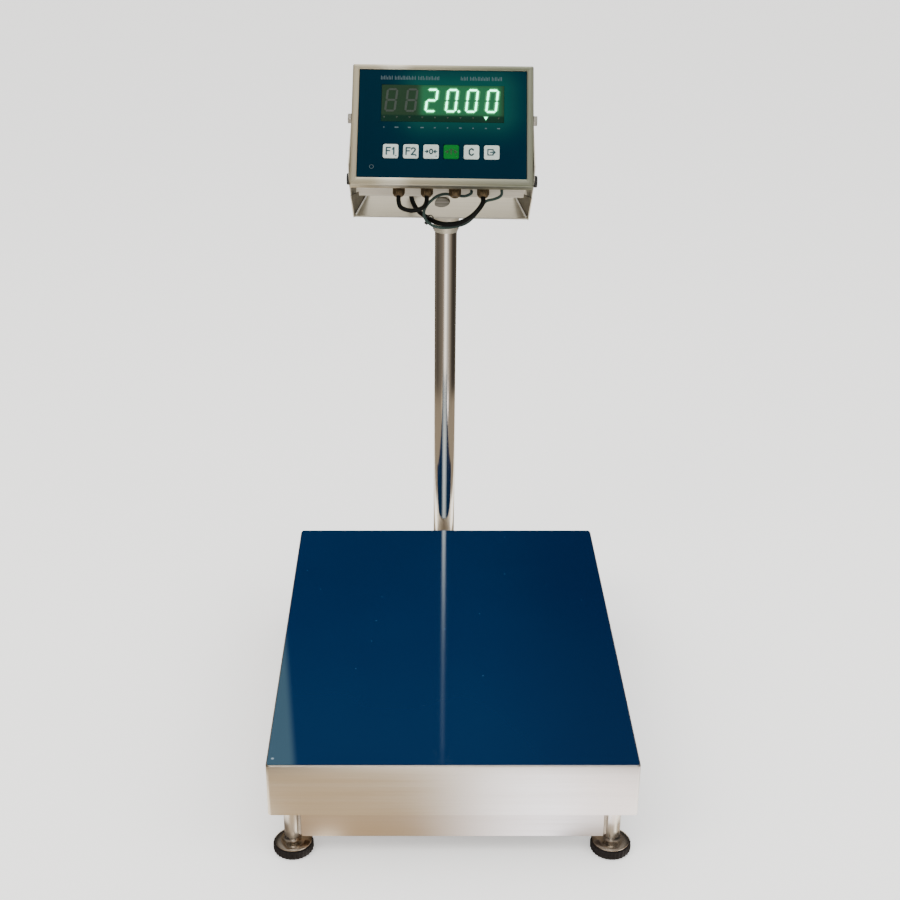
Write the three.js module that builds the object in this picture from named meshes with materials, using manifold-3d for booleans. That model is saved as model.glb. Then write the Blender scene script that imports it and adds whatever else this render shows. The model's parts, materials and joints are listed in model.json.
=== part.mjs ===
// Platform shipping scale: a load pan on a levelling base, a column behind it, and a tilting weight
// indicator on a yoke. Millimetres, +Z up, front towards -Y, origin on the floor under the middle of
// the scale's bounding box.
import * as THREE from 'three';
import { mergeVertices } from 'three/addons/utils/BufferGeometryUtils.js';
import Module from 'manifold-3d';

const wasm = await Module();
wasm.setup();

// ---- Driving dimensions ------------------------------------------------------------------------

const GAP = 0.3125; // between pieces that touch

const PAN_WIDTH = 450;
const PAN_LENGTH = 600;
const PAN_TOP = 139;
const PAN_SKIRT = 73.5;
const PAN_SHEET = 1.5;
const FILM = 0.5;

const FOOT_X = 197;
const FOOT_INSET = 20; // from the pan's front or rear edge
const RUBBER_RADIUS = 25.25;

const COLUMN_BEHIND = 35; // from the pan's rear edge to the column's axis
const SOCKET_BEHIND = 38; // from the column's axis to the back of its socket
const FOOT_AHEAD = RUBBER_RADIUS - FOOT_INSET; // the front feet stand this far out of the pan
const DEPTH = FOOT_AHEAD + PAN_LENGTH + COLUMN_BEHIND + SOCKET_BEHIND;
const PAN_FRONT = -DEPTH / 2 + FOOT_AHEAD;
const PAN_Y = PAN_FRONT + PAN_LENGTH / 2;
const PAN_BACK = PAN_FRONT + PAN_LENGTH;
const COLUMN_Y = PAN_BACK + COLUMN_BEHIND;

const RUBBER_HEIGHT = 12;
const CAP_RADIUS = 21.5;
const CAP_TOP = 18.4;
const STEM_RADIUS = 6;
const STEM_TOP = 62;
const LEG_RADIUS = 10.75;
const LEG_BOTTOM = 26.5;
const LEG_TOP = 96;

const RAIL_BOTTOM = 27.5;
const RAIL_TOP = 67;
const RAIL_DEPTH = 24;
const RAIL_INSET = 8; // from the pan's edge to the rail's outer face
const RAIL_SHEET = 2.5;
const SIDE_RAIL_X = 140;
const SIDE_RAIL_WIDTH = 30;
const BEAM_TOP = 57.5;

const CELL_WIDTH = 38;
const CELL_LENGTH = 150;
const CELL_HEIGHT = 38;
const CELL_PAD = 40; // length of the clamped stretch at each end
const CELL_Y = PAN_Y;
const SPACER = 4.25;
const CELL_BOTTOM = BEAM_TOP + GAP + SPACER + GAP;
const SPIDER_BOTTOM = CELL_BOTTOM + CELL_HEIGHT + GAP + SPACER;
const SPIDER_TOP = PAN_TOP - PAN_SHEET - 6.5;
const SPIDER_WIDTH = 25;
const SPIDER_REACH = 255; // from the middle to each end of its long members
const STOP_GAP = 0.6; // between an overload stop and the rail it lands on

const COLUMN_X = -2.5; // the column stands a little to the left
const COLUMN_RADIUS = 16;
const COLUMN_WALL = 2;
const COLUMN_FOOT = 62;
const COLUMN_TOP = 640;
const SLEEVE_TOP = 104;
const COLLAR_BOTTOM = 611;

const YOKE_TURN = -1; // degrees the yoke stands turned on the column
const YOKE_LEAN = 0.6; // degrees it leans to the right
const LEAN_HEIGHT = 635; // where the lean leaves the yoke on the column's axis
const YOKE_SIDE = -7.3; // from the column's axis to the yoke's middle, along the yoke
const YOKE_HALF = 124.5; // half of its outside width
const YOKE_SHEET = 1.5;
const FLOOR_SHEET = 2.5;
const FLOOR_SLOPE = 26; // degrees the yoke's floor rises towards the back
const FLOOR_AT_AXIS = 654.2; // height of the floor's upper face at the column's axis
const FLOOR_FRONT = -30;
const FLOOR_BACK = 27;
const FLOOR_HOLE = 13;
const PIVOT_Y = -40.6; // in front of the column's axis
const PIVOT_Z = 780;
const LOCK_BACK = 20; // degrees the lock slot lets the indicator lean further back
const LOCK_FORWARD = 5; // and come further forward

const TILT = 40; // degrees the indicator leans back
const PIVOT_DEPTH = 45; // behind the indicator's face
const PIVOT_RISE = 31; // above the middle of the face
const LOCK_DEPTH = 40;
const LOCK_RISE = -62;
const BEZEL_WIDTH = 245;
const BEZEL_HEIGHT = 178;
const BEZEL_RISE = 0.5;
const BEZEL_DEPTH = 10;
const PANEL_WIDTH = 226;
const PANEL_HEIGHT = 159;
const PANEL_RISE = 2;
const PANEL_SET_BACK = 0.8;
const PANEL_SHEET = 2.5;
const SHELL_FRONT = 12;
const SHELL_BACK = 75;
const SHELL_BOTTOM = -70;
const SHELL_TOP = 80;
const SHELL_SHEET = 2;
const WINDOW = { width: 165, height: 54.5, x: 0, z: 32 };
const KEY_SIZE = 20.6;
const KEY_PITCH = 27;
const KEY_FIRST_X = -68.5;
const KEY_Z = -39;
const KEY_NAMES = ['f1', 'f2', 'zero', 'tare', 'clear', 'print'];
const GLAND_X = [-57.5, -19.5, 18.5, 56.5];
const GLAND_DEPTH = 38;
const GLAND_LENGTH = 17;

const CABLE_RADIUS = 3.25;
const THIN_CABLE_RADIUS = 2;

// ---- Finishes ----------------------------------------------------------------------------------

const finish = (color, roughness, metalness) => ({ color, roughness, metalness });
const STAINLESS = finish(0xb9b3a6, 0.35, 1);
const POLISHED = finish(0xd8d2c6, 0.12, 1);
const BLUE_FILM = finish(0x003358, 0.12, 0);
const ALUMINIUM = finish(0xc4c6c8, 0.4, 1);
const RUBBER = finish(0x17161a, 0.8, 0);
const ZINC = finish(0xa8a69c, 0.4, 1);
const NICKEL_BRASS = finish(0x8a7346, 0.3, 1);
const NAVY_PANEL = finish(0x06243f, 0.3, 0);
const DARK_WINDOW = finish(0x1a2a16, 0.1, 0);
const KEY_GREY = finish(0xc9d4cf, 0.45, 0);
const KEY_GREEN = finish(0x1c9a2c, 0.45, 0);
const BOARD_GREEN = finish(0x14502c, 0.6, 0);
const BLACK_PLASTIC = finish(0x131313, 0.5, 0);
const CABLE_BLACK = finish(0x0c0d0d, 0.5, 0);
const CABLE_GREY = finish(0x2c3a38, 0.5, 0);

// ---- Solids ------------------------------------------------------------------------------------

function solidOf(geometry) {
  const bare = geometry.index ? geometry.toNonIndexed() : geometry.clone();
  bare.deleteAttribute('normal');
  bare.deleteAttribute('uv');
  const merged = mergeVertices(bare, 1e-4);
  const corners = merged.index.array;
  const kept = [];
  for (let i = 0; i < corners.length; i += 3) {
    const [a, b, c] = [corners[i], corners[i + 1], corners[i + 2]];
    if (a !== b && b !== c && c !== a) kept.push(a, b, c);
  }
  return new wasm.Manifold(new wasm.Mesh({
    numProp: 3,
    vertProperties: new Float32Array(merged.attributes.position.array),
    triVerts: new Uint32Array(kept),
  }));
}

function geometryOf(solid) {
  const mesh = solid.getMesh();
  const geometry = new THREE.BufferGeometry();
  geometry.setAttribute('position', new THREE.BufferAttribute(mesh.vertProperties, 3));
  geometry.setIndex(new THREE.BufferAttribute(mesh.triVerts, 1));
  geometry.computeVertexNormals();
  return geometry;
}

const joined = (first, ...others) => others.reduce((sum, other) => sum.add(other), first);
const cut = (first, ...others) => others.reduce((rest, other) => rest.subtract(other), first);

// A box by its extents, [low, high] along each axis.
function block([x0, x1], [y0, y1], [z0, z1]) {
  const geometry = new THREE.BoxGeometry(x1 - x0, y1 - y0, z1 - z0);
  geometry.translate((x0 + x1) / 2, (y0 + y1) / 2, (z0 + z1) / 2);
  return solidOf(geometry);
}

const spread = (middle, width) => [middle - width / 2, middle + width / 2];

// A body turned about the vertical axis through (x, y), from [radius, height] points that run up the
// outside from the axis to the axis, or round a closed ring.
function turned(profile, x = 0, y = 0, sides = 24) {
  const geometry = new THREE.LatheGeometry(profile.map(([r, z]) => new THREE.Vector2(r, z)), sides);
  geometry.rotateX(Math.PI / 2);
  geometry.translate(x, y, 0);
  return solidOf(geometry);
}

const post = (radius, z0, z1, x = 0, y = 0, sides = 24) =>
  turned([[0, z0], [radius, z0], [radius, z1], [0, z1]], x, y, sides);

// A round bar along X, at (y, z), from x0 to x1.
function bar(radius, x0, x1, y, z, sides = 16) {
  const geometry = new THREE.CylinderGeometry(radius, radius, x1 - x0, sides);
  geometry.rotateZ(-Math.PI / 2);
  geometry.translate((x0 + x1) / 2, y, z);
  return solidOf(geometry);
}

// A sheet in the YZ plane between x0 and x1, from a shape drawn with y across and z up.
function sheetAcross(shape, x0, x1, curveSegments = 10) {
  const geometry = new THREE.ExtrudeGeometry(shape, { depth: x1 - x0, bevelEnabled: false, curveSegments });
  geometry.applyMatrix4(new THREE.Matrix4().set(0, 0, 1, x0, 1, 0, 0, 0, 0, 1, 0, 0, 0, 0, 0, 1));
  return solidOf(geometry);
}

// A rail folded as a channel that is open downwards.
function channel([x0, x1], [y0, y1], [z0, z1], sheet) {
  const outside = block([x0, x1], [y0, y1], [z0, z1]);
  return cut(outside, block([x0 + sheet, x1 - sheet], [y0 + sheet, y1 - sheet], [z0 - 1, z1 - sheet]));
}

// A flat plate with three corners, thick on the side its normal points to.
function cornerPlate(a, b, c, thickness) {
  const normal = new THREE.Vector3().crossVectors(b.clone().sub(a), c.clone().sub(a)).setLength(thickness);
  const low = [a, b, c];
  const points = [...low, ...low.map((p) => p.clone().add(normal))];
  const faces = [0, 2, 1, 3, 4, 5, 0, 1, 4, 0, 4, 3, 1, 2, 5, 1, 5, 4, 2, 0, 3, 2, 3, 5];
  const geometry = new THREE.BufferGeometry().setFromPoints(faces.map((i) => points[i]));
  return solidOf(geometry);
}

// A cable of constant thickness along a smooth curve through the points.
function cable(points, radius, step) {
  const curve = new THREE.CatmullRomCurve3(points.map((p) => new THREE.Vector3(...p)));
  const section = new THREE.Shape(
    [...Array(8).keys()].map((i) => {
      const angle = (i / 8) * 2 * Math.PI;
      return new THREE.Vector2(radius * Math.cos(angle), radius * Math.sin(angle));
    }),
  );
  const steps = Math.round(curve.getLength() / step);
  return solidOf(new THREE.ExtrudeGeometry(section, { steps, extrudePath: curve, bevelEnabled: false }));
}

function piece(name, solid, look) {
  const mesh = new THREE.Mesh(geometryOf(solid), new THREE.MeshStandardMaterial(look));
  mesh.name = name;
  return mesh;
}

// ---- Platform ----------------------------------------------------------------------------------

function loadPan() {
  const height = [PAN_TOP - PAN_SKIRT, PAN_TOP];
  return channel(spread(0, PAN_WIDTH), spread(PAN_Y, PAN_LENGTH), height, PAN_SHEET);
}

function panFilm() {
  const z0 = PAN_TOP + GAP;
  return block(spread(0, PAN_WIDTH - 1), spread(PAN_Y, PAN_LENGTH - 1), [z0, z0 + FILM]);
}

// Four rails and a beam for the load cell, all folded channels, with a way through for its cable.
function baseFrame() {
  const railHalf = FOOT_X - LEG_RADIUS - 2 * GAP;
  const height = [RAIL_BOTTOM, RAIL_TOP];
  const front = [PAN_FRONT + RAIL_INSET, PAN_FRONT + RAIL_INSET + RAIL_DEPTH];
  const back = [PAN_BACK - RAIL_INSET - RAIL_DEPTH, PAN_BACK - RAIL_INSET];
  const along = [front[1] - 0.5, back[0] + 0.5];
  const fixedEnd = CELL_Y + CELL_LENGTH / 2 - CELL_PAD / 2;
  const inner = SIDE_RAIL_X - SIDE_RAIL_WIDTH / 2;
  const sideHeight = [RAIL_BOTTOM + 1, RAIL_TOP];
  const beamHeight = [RAIL_BOTTOM + 2, BEAM_TOP];
  const frame = joined(
    channel([-railHalf, railHalf], front, height, RAIL_SHEET),
    channel([-railHalf, railHalf], back, height, RAIL_SHEET),
    channel(spread(-SIDE_RAIL_X, SIDE_RAIL_WIDTH), along, sideHeight, RAIL_SHEET),
    channel(spread(SIDE_RAIL_X, SIDE_RAIL_WIDTH), along, sideHeight, RAIL_SHEET),
    channel([-inner - 0.5, inner + 0.5], spread(fixedEnd, CELL_PAD), beamHeight, RAIL_SHEET),
  );
  const cableWay = new THREE.CylinderGeometry(6, 6, 2 * RAIL_DEPTH, 12);
  cableWay.translate(0, (back[0] + back[1]) / 2, 45);
  return cut(frame, solidOf(cableWay));
}

function legTube() {
  const tube = post(LEG_RADIUS, LEG_BOTTOM, LEG_TOP);
  return cut(tube, post(STEM_RADIUS + 2 * GAP, LEG_BOTTOM - 1, LEG_TOP - 14));
}

const footStem = () => post(STEM_RADIUS, CAP_TOP + GAP, STEM_TOP);

// A low dome with a short neck that the stem stands on.
function footCap() {
  const bottom = RUBBER_HEIGHT + GAP;
  return turned([
    [0, bottom], [CAP_RADIUS, bottom], [CAP_RADIUS, 13.3], [20, 14.6], [16, 16], [11, 16.8], [7.2, 17.2],
    [7.2, CAP_TOP], [0, CAP_TOP],
  ]);
}

const footRubber = () =>
  turned([
    [0, 0], [RUBBER_RADIUS - 1.8, 0], [RUBBER_RADIUS, 1.5], [RUBBER_RADIUS, RUBBER_HEIGHT - 1.5],
    [RUBBER_RADIUS - 1, RUBBER_HEIGHT], [0, RUBBER_HEIGHT],
  ]);

// A bending-beam load cell: a block with two round holes joined by a slot.
function loadCell() {
  const z = CELL_BOTTOM + CELL_HEIGHT / 2;
  const body = block(spread(0, CELL_WIDTH), spread(CELL_Y, CELL_LENGTH), spread(z, CELL_HEIGHT));
  const half = CELL_WIDTH / 2 + 1;
  return cut(
    body,
    bar(11, -half, half, CELL_Y - 16, z),
    bar(11, -half, half, CELL_Y + 16, z),
    block([-half, half], spread(CELL_Y, 32), spread(z, 8)),
  );
}

const cellSpacer = (y, z0) =>
  block(spread(0, CELL_WIDTH - 2), spread(y, CELL_PAD - 4), [z0, z0 + SPACER]);

// The load frame under the pan: two long channels and three cross channels, with a spacer block
// under the middle one for the load cell's free end.
function spider() {
  const height = [SPIDER_BOTTOM, SPIDER_TOP];
  const inner = SIDE_RAIL_X - SPIDER_WIDTH / 2 + 0.5;
  const crossHeight = [SPIDER_BOTTOM + 1, SPIDER_TOP];
  const crossing = (y, width) => channel([-inner, inner], spread(y, width), crossHeight, RAIL_SHEET);
  const along = (x) => channel(spread(x, SPIDER_WIDTH), spread(PAN_Y, 2 * SPIDER_REACH), height, RAIL_SHEET);
  const freeEnd = CELL_Y - (CELL_LENGTH - CELL_PAD) / 2;
  return joined(
    along(-SIDE_RAIL_X),
    along(SIDE_RAIL_X),
    crossing(freeEnd, CELL_PAD),
    block(
      spread(0, CELL_WIDTH - 2),
      spread(freeEnd, CELL_PAD - 2 * RAIL_SHEET + 1),
      [SPIDER_BOTTOM - SPACER, SPIDER_TOP - RAIL_SHEET + 0.5],
    ),
    crossing(PAN_Y - SPIDER_REACH + 30, SPIDER_WIDTH),
    crossing(PAN_Y + SPIDER_REACH - 30, SPIDER_WIDTH),
  );
}

const panPad = () => post(11, SPIDER_TOP + GAP, PAN_TOP - PAN_SHEET - GAP);

// A screw hanging from the load frame, whose head stops on the side rail when the pan is overloaded.
function overloadStop() {
  const headBottom = RAIL_TOP + STOP_GAP;
  return joined(
    post(8.5, headBottom, headBottom + 6, 0, 0, 6),
    post(5, headBottom + 5, SPIDER_TOP - RAIL_SHEET - GAP, 0, 0, 12),
  );
}

const spiritLevel = () =>
  turned([
    [0, BEAM_TOP + GAP], [15, BEAM_TOP + GAP], [15, BEAM_TOP + 3], [12, BEAM_TOP + 3], [12, BEAM_TOP + 9],
    [10, BEAM_TOP + 10.5], [0, BEAM_TOP + 11],
  ]);

const cellCable = () => {
  const start = CELL_Y + CELL_LENGTH / 2 + GAP;
  return cable([
    [0, start, 80], [0, start + 16, 79], [0, start + 40, 71], [0, start + 70, 58], [0, start + 105, 48],
    [0, start + 150, 45], [0, PAN_BACK - 20, 45], [-0.5, PAN_BACK + 5, 45], [-2, COLUMN_Y - 16, 47],
    [COLUMN_X, COLUMN_Y - 5, 54], [COLUMN_X, COLUMN_Y, 68], [COLUMN_X, COLUMN_Y, 100],
    [COLUMN_X, COLUMN_Y, 240], [COLUMN_X, COLUMN_Y, 380], [COLUMN_X, COLUMN_Y, 520], [COLUMN_X, COLUMN_Y, 600],
  ], CABLE_RADIUS, 12);
};

// ---- Column ------------------------------------------------------------------------------------

// A channel that runs back from the rear rail, with a sleeve standing on it for the column.
function columnSocket() {
  const front = PAN_BACK - RAIL_INSET + GAP;
  const length = [front, COLUMN_Y + SOCKET_BEHIND];
  const arm = channel(spread(COLUMN_X, 64), length, [RAIL_BOTTOM, COLUMN_FOOT - GAP], 3);
  const sleeve = post(COLUMN_RADIUS + 4.5, COLUMN_FOOT - 2, SLEEVE_TOP, COLUMN_X, COLUMN_Y, 32);
  return cut(
    joined(arm, sleeve),
    post(COLUMN_RADIUS + GAP, COLUMN_FOOT - GAP, SLEEVE_TOP + 1, COLUMN_X, COLUMN_Y, 32),
    post(10, RAIL_BOTTOM, COLUMN_FOOT + 1, COLUMN_X, COLUMN_Y, 16),
    block([-8, 7], [front - 1, front + 4], [38, 52]),
  );
}

function columnTube() {
  return cut(
    post(COLUMN_RADIUS, COLUMN_FOOT, COLUMN_TOP, COLUMN_X, COLUMN_Y, 32),
    post(COLUMN_RADIUS - COLUMN_WALL, COLUMN_FOOT - 1, COLUMN_TOP + 1, COLUMN_X, COLUMN_Y, 32),
  );
}

// ---- Yoke, in a frame at its middle, level with the column's axis, with +Y to the back ---------------

const floorHeight = (y) => FLOOR_AT_AXIS + y * Math.tan(THREE.MathUtils.degToRad(FLOOR_SLOPE));

// A slab that slopes as the yoke's floor does, whose upper face is lift above the floor's.
function slopedSlab(halfWidth, y0, y1, thickness, lift) {
  const slope = THREE.MathUtils.degToRad(FLOOR_SLOPE);
  const middle = (y0 + y1) / 2;
  const geometry = new THREE.BoxGeometry(2 * halfWidth, (y1 - y0) / Math.cos(slope), thickness);
  geometry.translate(0, 0, lift - thickness / 2);
  geometry.rotateX(slope);
  geometry.translate(0, middle, floorHeight(middle));
  return solidOf(geometry);
}

// A flared sleeve from the column up to the underside of the floor, open at the back for the cable.
function columnCollar() {
  const bore = COLUMN_RADIUS + 2 * GAP;
  const flare = turned([
    [bore, COLLAR_BOTTOM], [17.4, COLLAR_BOTTOM], [17.7, 616], [18.2, 624], [19.6, 631], [21.5, 637],
    [24, 643], [26.5, 649], [26.5, 680], [bore, 680], [bore, COLLAR_BOTTOM],
  ], -YOKE_SIDE, 0, 32);
  const above = slopedSlab(60, -60, 60, 80, 80 - FLOOR_SHEET - GAP);
  return cut(flare, above, block([-YOKE_SIDE - 7, -YOKE_SIDE + 7], [8, 40], [643, 670]));
}

// The outline of one ear, with y to the back and z up.
function earShape() {
  const lockRadius = Math.hypot(PIVOT_DEPTH - LOCK_DEPTH, PIVOT_RISE - LOCK_RISE);
  const lockLean = Math.atan2(PIVOT_DEPTH - LOCK_DEPTH, PIVOT_RISE - LOCK_RISE);
  const rest = -Math.PI / 2 - lockLean - THREE.MathUtils.degToRad(TILT);
  const first = rest - THREE.MathUtils.degToRad(LOCK_BACK);
  const last = rest + THREE.MathUtils.degToRad(LOCK_FORWARD);
  const rim = lockRadius + 12;
  const tip = 14;
  const under = FLOOR_SHEET / Math.cos(THREE.MathUtils.degToRad(FLOOR_SLOPE));
  const shape = new THREE.Shape();
  shape.moveTo(FLOOR_FRONT, floorHeight(FLOOR_FRONT) - under);
  shape.lineTo(FLOOR_BACK, floorHeight(FLOOR_BACK) - under);
  shape.lineTo(FLOOR_BACK, floorHeight(FLOOR_BACK) + 12);
  shape.lineTo(PIVOT_Y + tip, PIVOT_Z - 30);
  shape.absarc(PIVOT_Y, PIVOT_Z, tip, 0, Math.PI * 0.9, false);
  shape.absarc(PIVOT_Y, PIVOT_Z, rim, first - 0.1, last + 0.1, false);
  shape.closePath();
  const half = 3.6;
  const slot = new THREE.Path();
  slot.absarc(PIVOT_Y, PIVOT_Z, lockRadius + half, first, last, false);
  const turnAt = (angle, from) => {
    const y = PIVOT_Y + lockRadius * Math.cos(angle);
    const z = PIVOT_Z + lockRadius * Math.sin(angle);
    slot.absarc(y, z, half, from, from + Math.PI, false);
  };
  turnAt(last, last);
  slot.absarc(PIVOT_Y, PIVOT_Z, lockRadius - half, last, first, true);
  turnAt(first, first + Math.PI);
  shape.holes.push(slot);
  const hole = new THREE.Path();
  hole.absarc(PIVOT_Y, PIVOT_Z, 4.4, 0, 2 * Math.PI, true);
  shape.holes.push(hole);
  return shape;
}

// A sloped floor, two ears with pivot holes and lock slots, and a slanting plate in each corner.
function headBracket() {
  const floor = slopedSlab(YOKE_HALF, FLOOR_FRONT, FLOOR_BACK, FLOOR_SHEET, 0);
  const slope = THREE.MathUtils.degToRad(FLOOR_SLOPE);
  const hole = new THREE.CylinderGeometry(FLOOR_HOLE, FLOOR_HOLE, 20, 24);
  hole.rotateX(Math.PI / 2 + slope);
  hole.translate(0, 0, FLOOR_AT_AXIS);
  const inner = YOKE_HALF - YOKE_SHEET;
  const corner = (side) => {
    const low = new THREE.Vector3(side * (inner + 0.5), FLOOR_FRONT, floorHeight(FLOOR_FRONT) - 1);
    const back = new THREE.Vector3(side * 102, FLOOR_BACK, floorHeight(FLOOR_BACK) - 1);
    const high = new THREE.Vector3(side * (inner + 0.5), -94, 686);
    return side > 0 ? cornerPlate(low, back, high, 1.5) : cornerPlate(low, high, back, 1.5);
  };
  const shape = earShape();
  return cut(
    joined(
      floor,
      sheetAcross(shape, inner, YOKE_HALF),
      sheetAcross(shape, -YOKE_HALF, -inner),
      corner(1),
      corner(-1),
    ),
    solidOf(hole),
  );
}

// ---- Indicator, in a frame on the middle of its face with +Y going in and +Z up the face ------------

const faceFrame = [spread(PANEL_RISE, PANEL_HEIGHT + 2 * GAP), spread(0, PANEL_WIDTH + 2 * GAP)];

function frontBezel() {
  const outside = block(spread(0, BEZEL_WIDTH), [0, BEZEL_DEPTH], spread(BEZEL_RISE, BEZEL_HEIGHT));
  return cut(outside, block(faceFrame[1], [-1, BEZEL_DEPTH + 1], faceFrame[0]));
}

function bezelGasket() {
  const y = [BEZEL_DEPTH + GAP, SHELL_FRONT - GAP];
  const middle = (SHELL_BOTTOM + SHELL_TOP) / 2;
  const height = SHELL_TOP - SHELL_BOTTOM;
  const ring = block(spread(0, PANEL_WIDTH), y, spread(middle, height));
  return cut(ring, block(spread(0, PANEL_WIDTH - 14), [0, SHELL_FRONT], spread(middle, height - 14)));
}

// A folded tub that is open to the front, with bosses for the pivots and the lock screws.
function rearShell() {
  const half = PANEL_WIDTH / 2;
  const sheet = SHELL_SHEET;
  const bossEnd = YOKE_HALF - YOKE_SHEET - GAP;
  const bossStart = half - sheet - 3;
  const sides = [-1, 1];
  const across = (side, radius, x0, x1, y, z) =>
    bar(radius, Math.min(side * x0, side * x1), Math.max(side * x0, side * x1), y, z, 20);
  const bosses = sides.flatMap((side) => [
    across(side, 10, bossStart, bossEnd, PIVOT_DEPTH, PIVOT_RISE),
    across(side, 7, bossStart, bossEnd, LOCK_DEPTH, LOCK_RISE),
  ]);
  const bores = sides.flatMap((side) => [
    across(side, 4 + GAP, bossStart - 1, bossEnd + 1, PIVOT_DEPTH, PIVOT_RISE),
    across(side, 2.8 + GAP, bossStart - 1, bossEnd + 1, LOCK_DEPTH, LOCK_RISE),
  ]);
  const outside = block([-half, half], [SHELL_FRONT, SHELL_BACK], [SHELL_BOTTOM, SHELL_TOP]);
  const inside = block(
    [-half + sheet, half - sheet],
    [SHELL_FRONT - 1, SHELL_BACK - sheet],
    [SHELL_BOTTOM + sheet, SHELL_TOP - sheet],
  );
  return cut(joined(cut(outside, inside), ...bosses), ...bores);
}

const keyX = (index) => KEY_FIRST_X + index * KEY_PITCH;

// The printed panel, with openings for the display window and the keys.
function frontPanel() {
  const y = [PANEL_SET_BACK, PANEL_SET_BACK + PANEL_SHEET];
  const panel = block(spread(0, PANEL_WIDTH), y, spread(PANEL_RISE, PANEL_HEIGHT));
  const opening = (x, z, width, height) =>
    block(spread(x, width + 2 * GAP), [-1, 10], spread(z, height + 2 * GAP));
  const keyHoles = KEY_NAMES.map((_, i) => opening(keyX(i), KEY_Z, KEY_SIZE, KEY_SIZE));
  return cut(panel, opening(WINDOW.x, WINDOW.z, WINDOW.width, WINDOW.height), ...keyHoles);
}

const displayWindow = () =>
  block(
    spread(WINDOW.x, WINDOW.width),
    [PANEL_SET_BACK, PANEL_SET_BACK + 2],
    spread(WINDOW.z, WINDOW.height),
  );

// The LED block that shines through the window, on its board.
const displayBoard = () =>
  joined(
    block(spread(WINDOW.x, WINDOW.width - 4), [6, 14.5], spread(WINDOW.z, WINDOW.height - 6)),
    block(spread(WINDOW.x, WINDOW.width + 16), [14, 15.6], spread(WINDOW.z, WINDOW.height + 6)),
  );

const mainBoard = () =>
  joined(
    block(spread(0, 196), [28, 29.6], spread(5, 124)),
    block(spread(50, 70), [29, 48], spread(20, 50)),
    block(spread(-50, 44), [29, 40], spread(-20, 30)),
  );

// A key of the keypad: its cap and the plunger behind it.
const key = (x) =>
  joined(
    block(spread(x, KEY_SIZE), [PANEL_SET_BACK - 0.4, PANEL_SET_BACK + 1.4], spread(KEY_Z, KEY_SIZE)),
    block(spread(x, 6), [PANEL_SET_BACK + 1, 5.5], spread(KEY_Z, 6)),
  );

// A cable gland under the shell: base, clamping nut and mouth.
function cableGland(x) {
  const bottom = SHELL_BOTTOM - GAP - GLAND_LENGTH;
  return turned([
    [0, bottom], [5.2, bottom], [6.8, bottom + 2.2], [8.4, bottom + 4.4], [8.4, bottom + 11.5],
    [6.6, bottom + 11.5], [6.6, bottom + 12.5], [9.2, bottom + 12.5], [9.2, bottom + GLAND_LENGTH],
    [0, bottom + GLAND_LENGTH],
  ], x, GLAND_DEPTH, 12);
}

const outwards = (side, radius, x0, x1, y, z, sides) =>
  bar(radius, Math.min(side * x0, side * x1), Math.max(side * x0, side * x1), y, z, sides);

const pivotBolt = (side) =>
  joined(
    outwards(side, 4, 105, YOKE_HALF + 1, PIVOT_DEPTH, PIVOT_RISE, 16),
    outwards(side, 7.5, YOKE_HALF + GAP, YOKE_HALF + 5.5, PIVOT_DEPTH, PIVOT_RISE, 6),
  );

const lockKnob = (side) =>
  joined(
    outwards(side, 2.8, 106, YOKE_HALF + 1, LOCK_DEPTH, LOCK_RISE, 12),
    outwards(side, 8, YOKE_HALF + GAP, YOKE_HALF + 7, LOCK_DEPTH, LOCK_RISE, 20),
  );

// ---- Cables at the indicator, in the yoke's frame --------------------------------------------------

// A point of the indicator's frame in the yoke's frame.
function yokePoint(x, depth, rise) {
  const tilt = THREE.MathUtils.degToRad(TILT);
  const back = depth - PIVOT_DEPTH;
  const up = rise - PIVOT_RISE;
  return [
    x,
    PIVOT_Y + back * Math.cos(tilt) + up * Math.sin(tilt),
    PIVOT_Z - back * Math.sin(tilt) + up * Math.cos(tilt),
  ];
}

const glandMouth = (index, drop = GAP) =>
  yokePoint(GLAND_X[index], GLAND_DEPTH, SHELL_BOTTOM - GAP - GLAND_LENGTH - drop);

const shellOutlet = (x, depth, drop = 2 * GAP) => yokePoint(x, depth, SHELL_BOTTOM - drop);

// From the column's mouth out of the collar's back, over the floor and up into the last gland.
const indicatorCable = () => {
  const axis = -YOKE_SIDE;
  return cable([
    [axis, 0, 600.6], [axis, 0, 622], [axis, 3, 638], [axis, 11, 648], [axis - 1, 22, 651.5],
    [axis - 4, 31, 656], [axis - 10, 34, 667], [-15, 32, 678], [-27, 26, 682], [-38, 16, 678],
    [-43, 3, 671.5], [-43, -12, 667], [-41, -30, 663.5], [-38, -47, 661.5], [-34, -64, 660.5],
    [-29, -80, 660], [-22, -96, 659.5], [-14, -110, 658.5], [-4, -121, 657.5], [7, -127, 657.5],
    [19, -130, 659], [31, -131.5, 663.5], [41, -132, 670], [50, -131.5, 679], glandMouth(3, 7),
    glandMouth(3),
  ], CABLE_RADIUS, 9);
};

// A short loop from the first gland to the second.
const jumperCable = () =>
  cable([
    glandMouth(0), glandMouth(0, 6), [-54.8, -131, 682], [-47.8, -134, 679], [-38.8, -135, 678],
    [-29.8, -134, 679.5], [-22.6, -131, 683], glandMouth(1, 6), glandMouth(1),
  ], CABLE_RADIUS - 0.25, 7);

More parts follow.
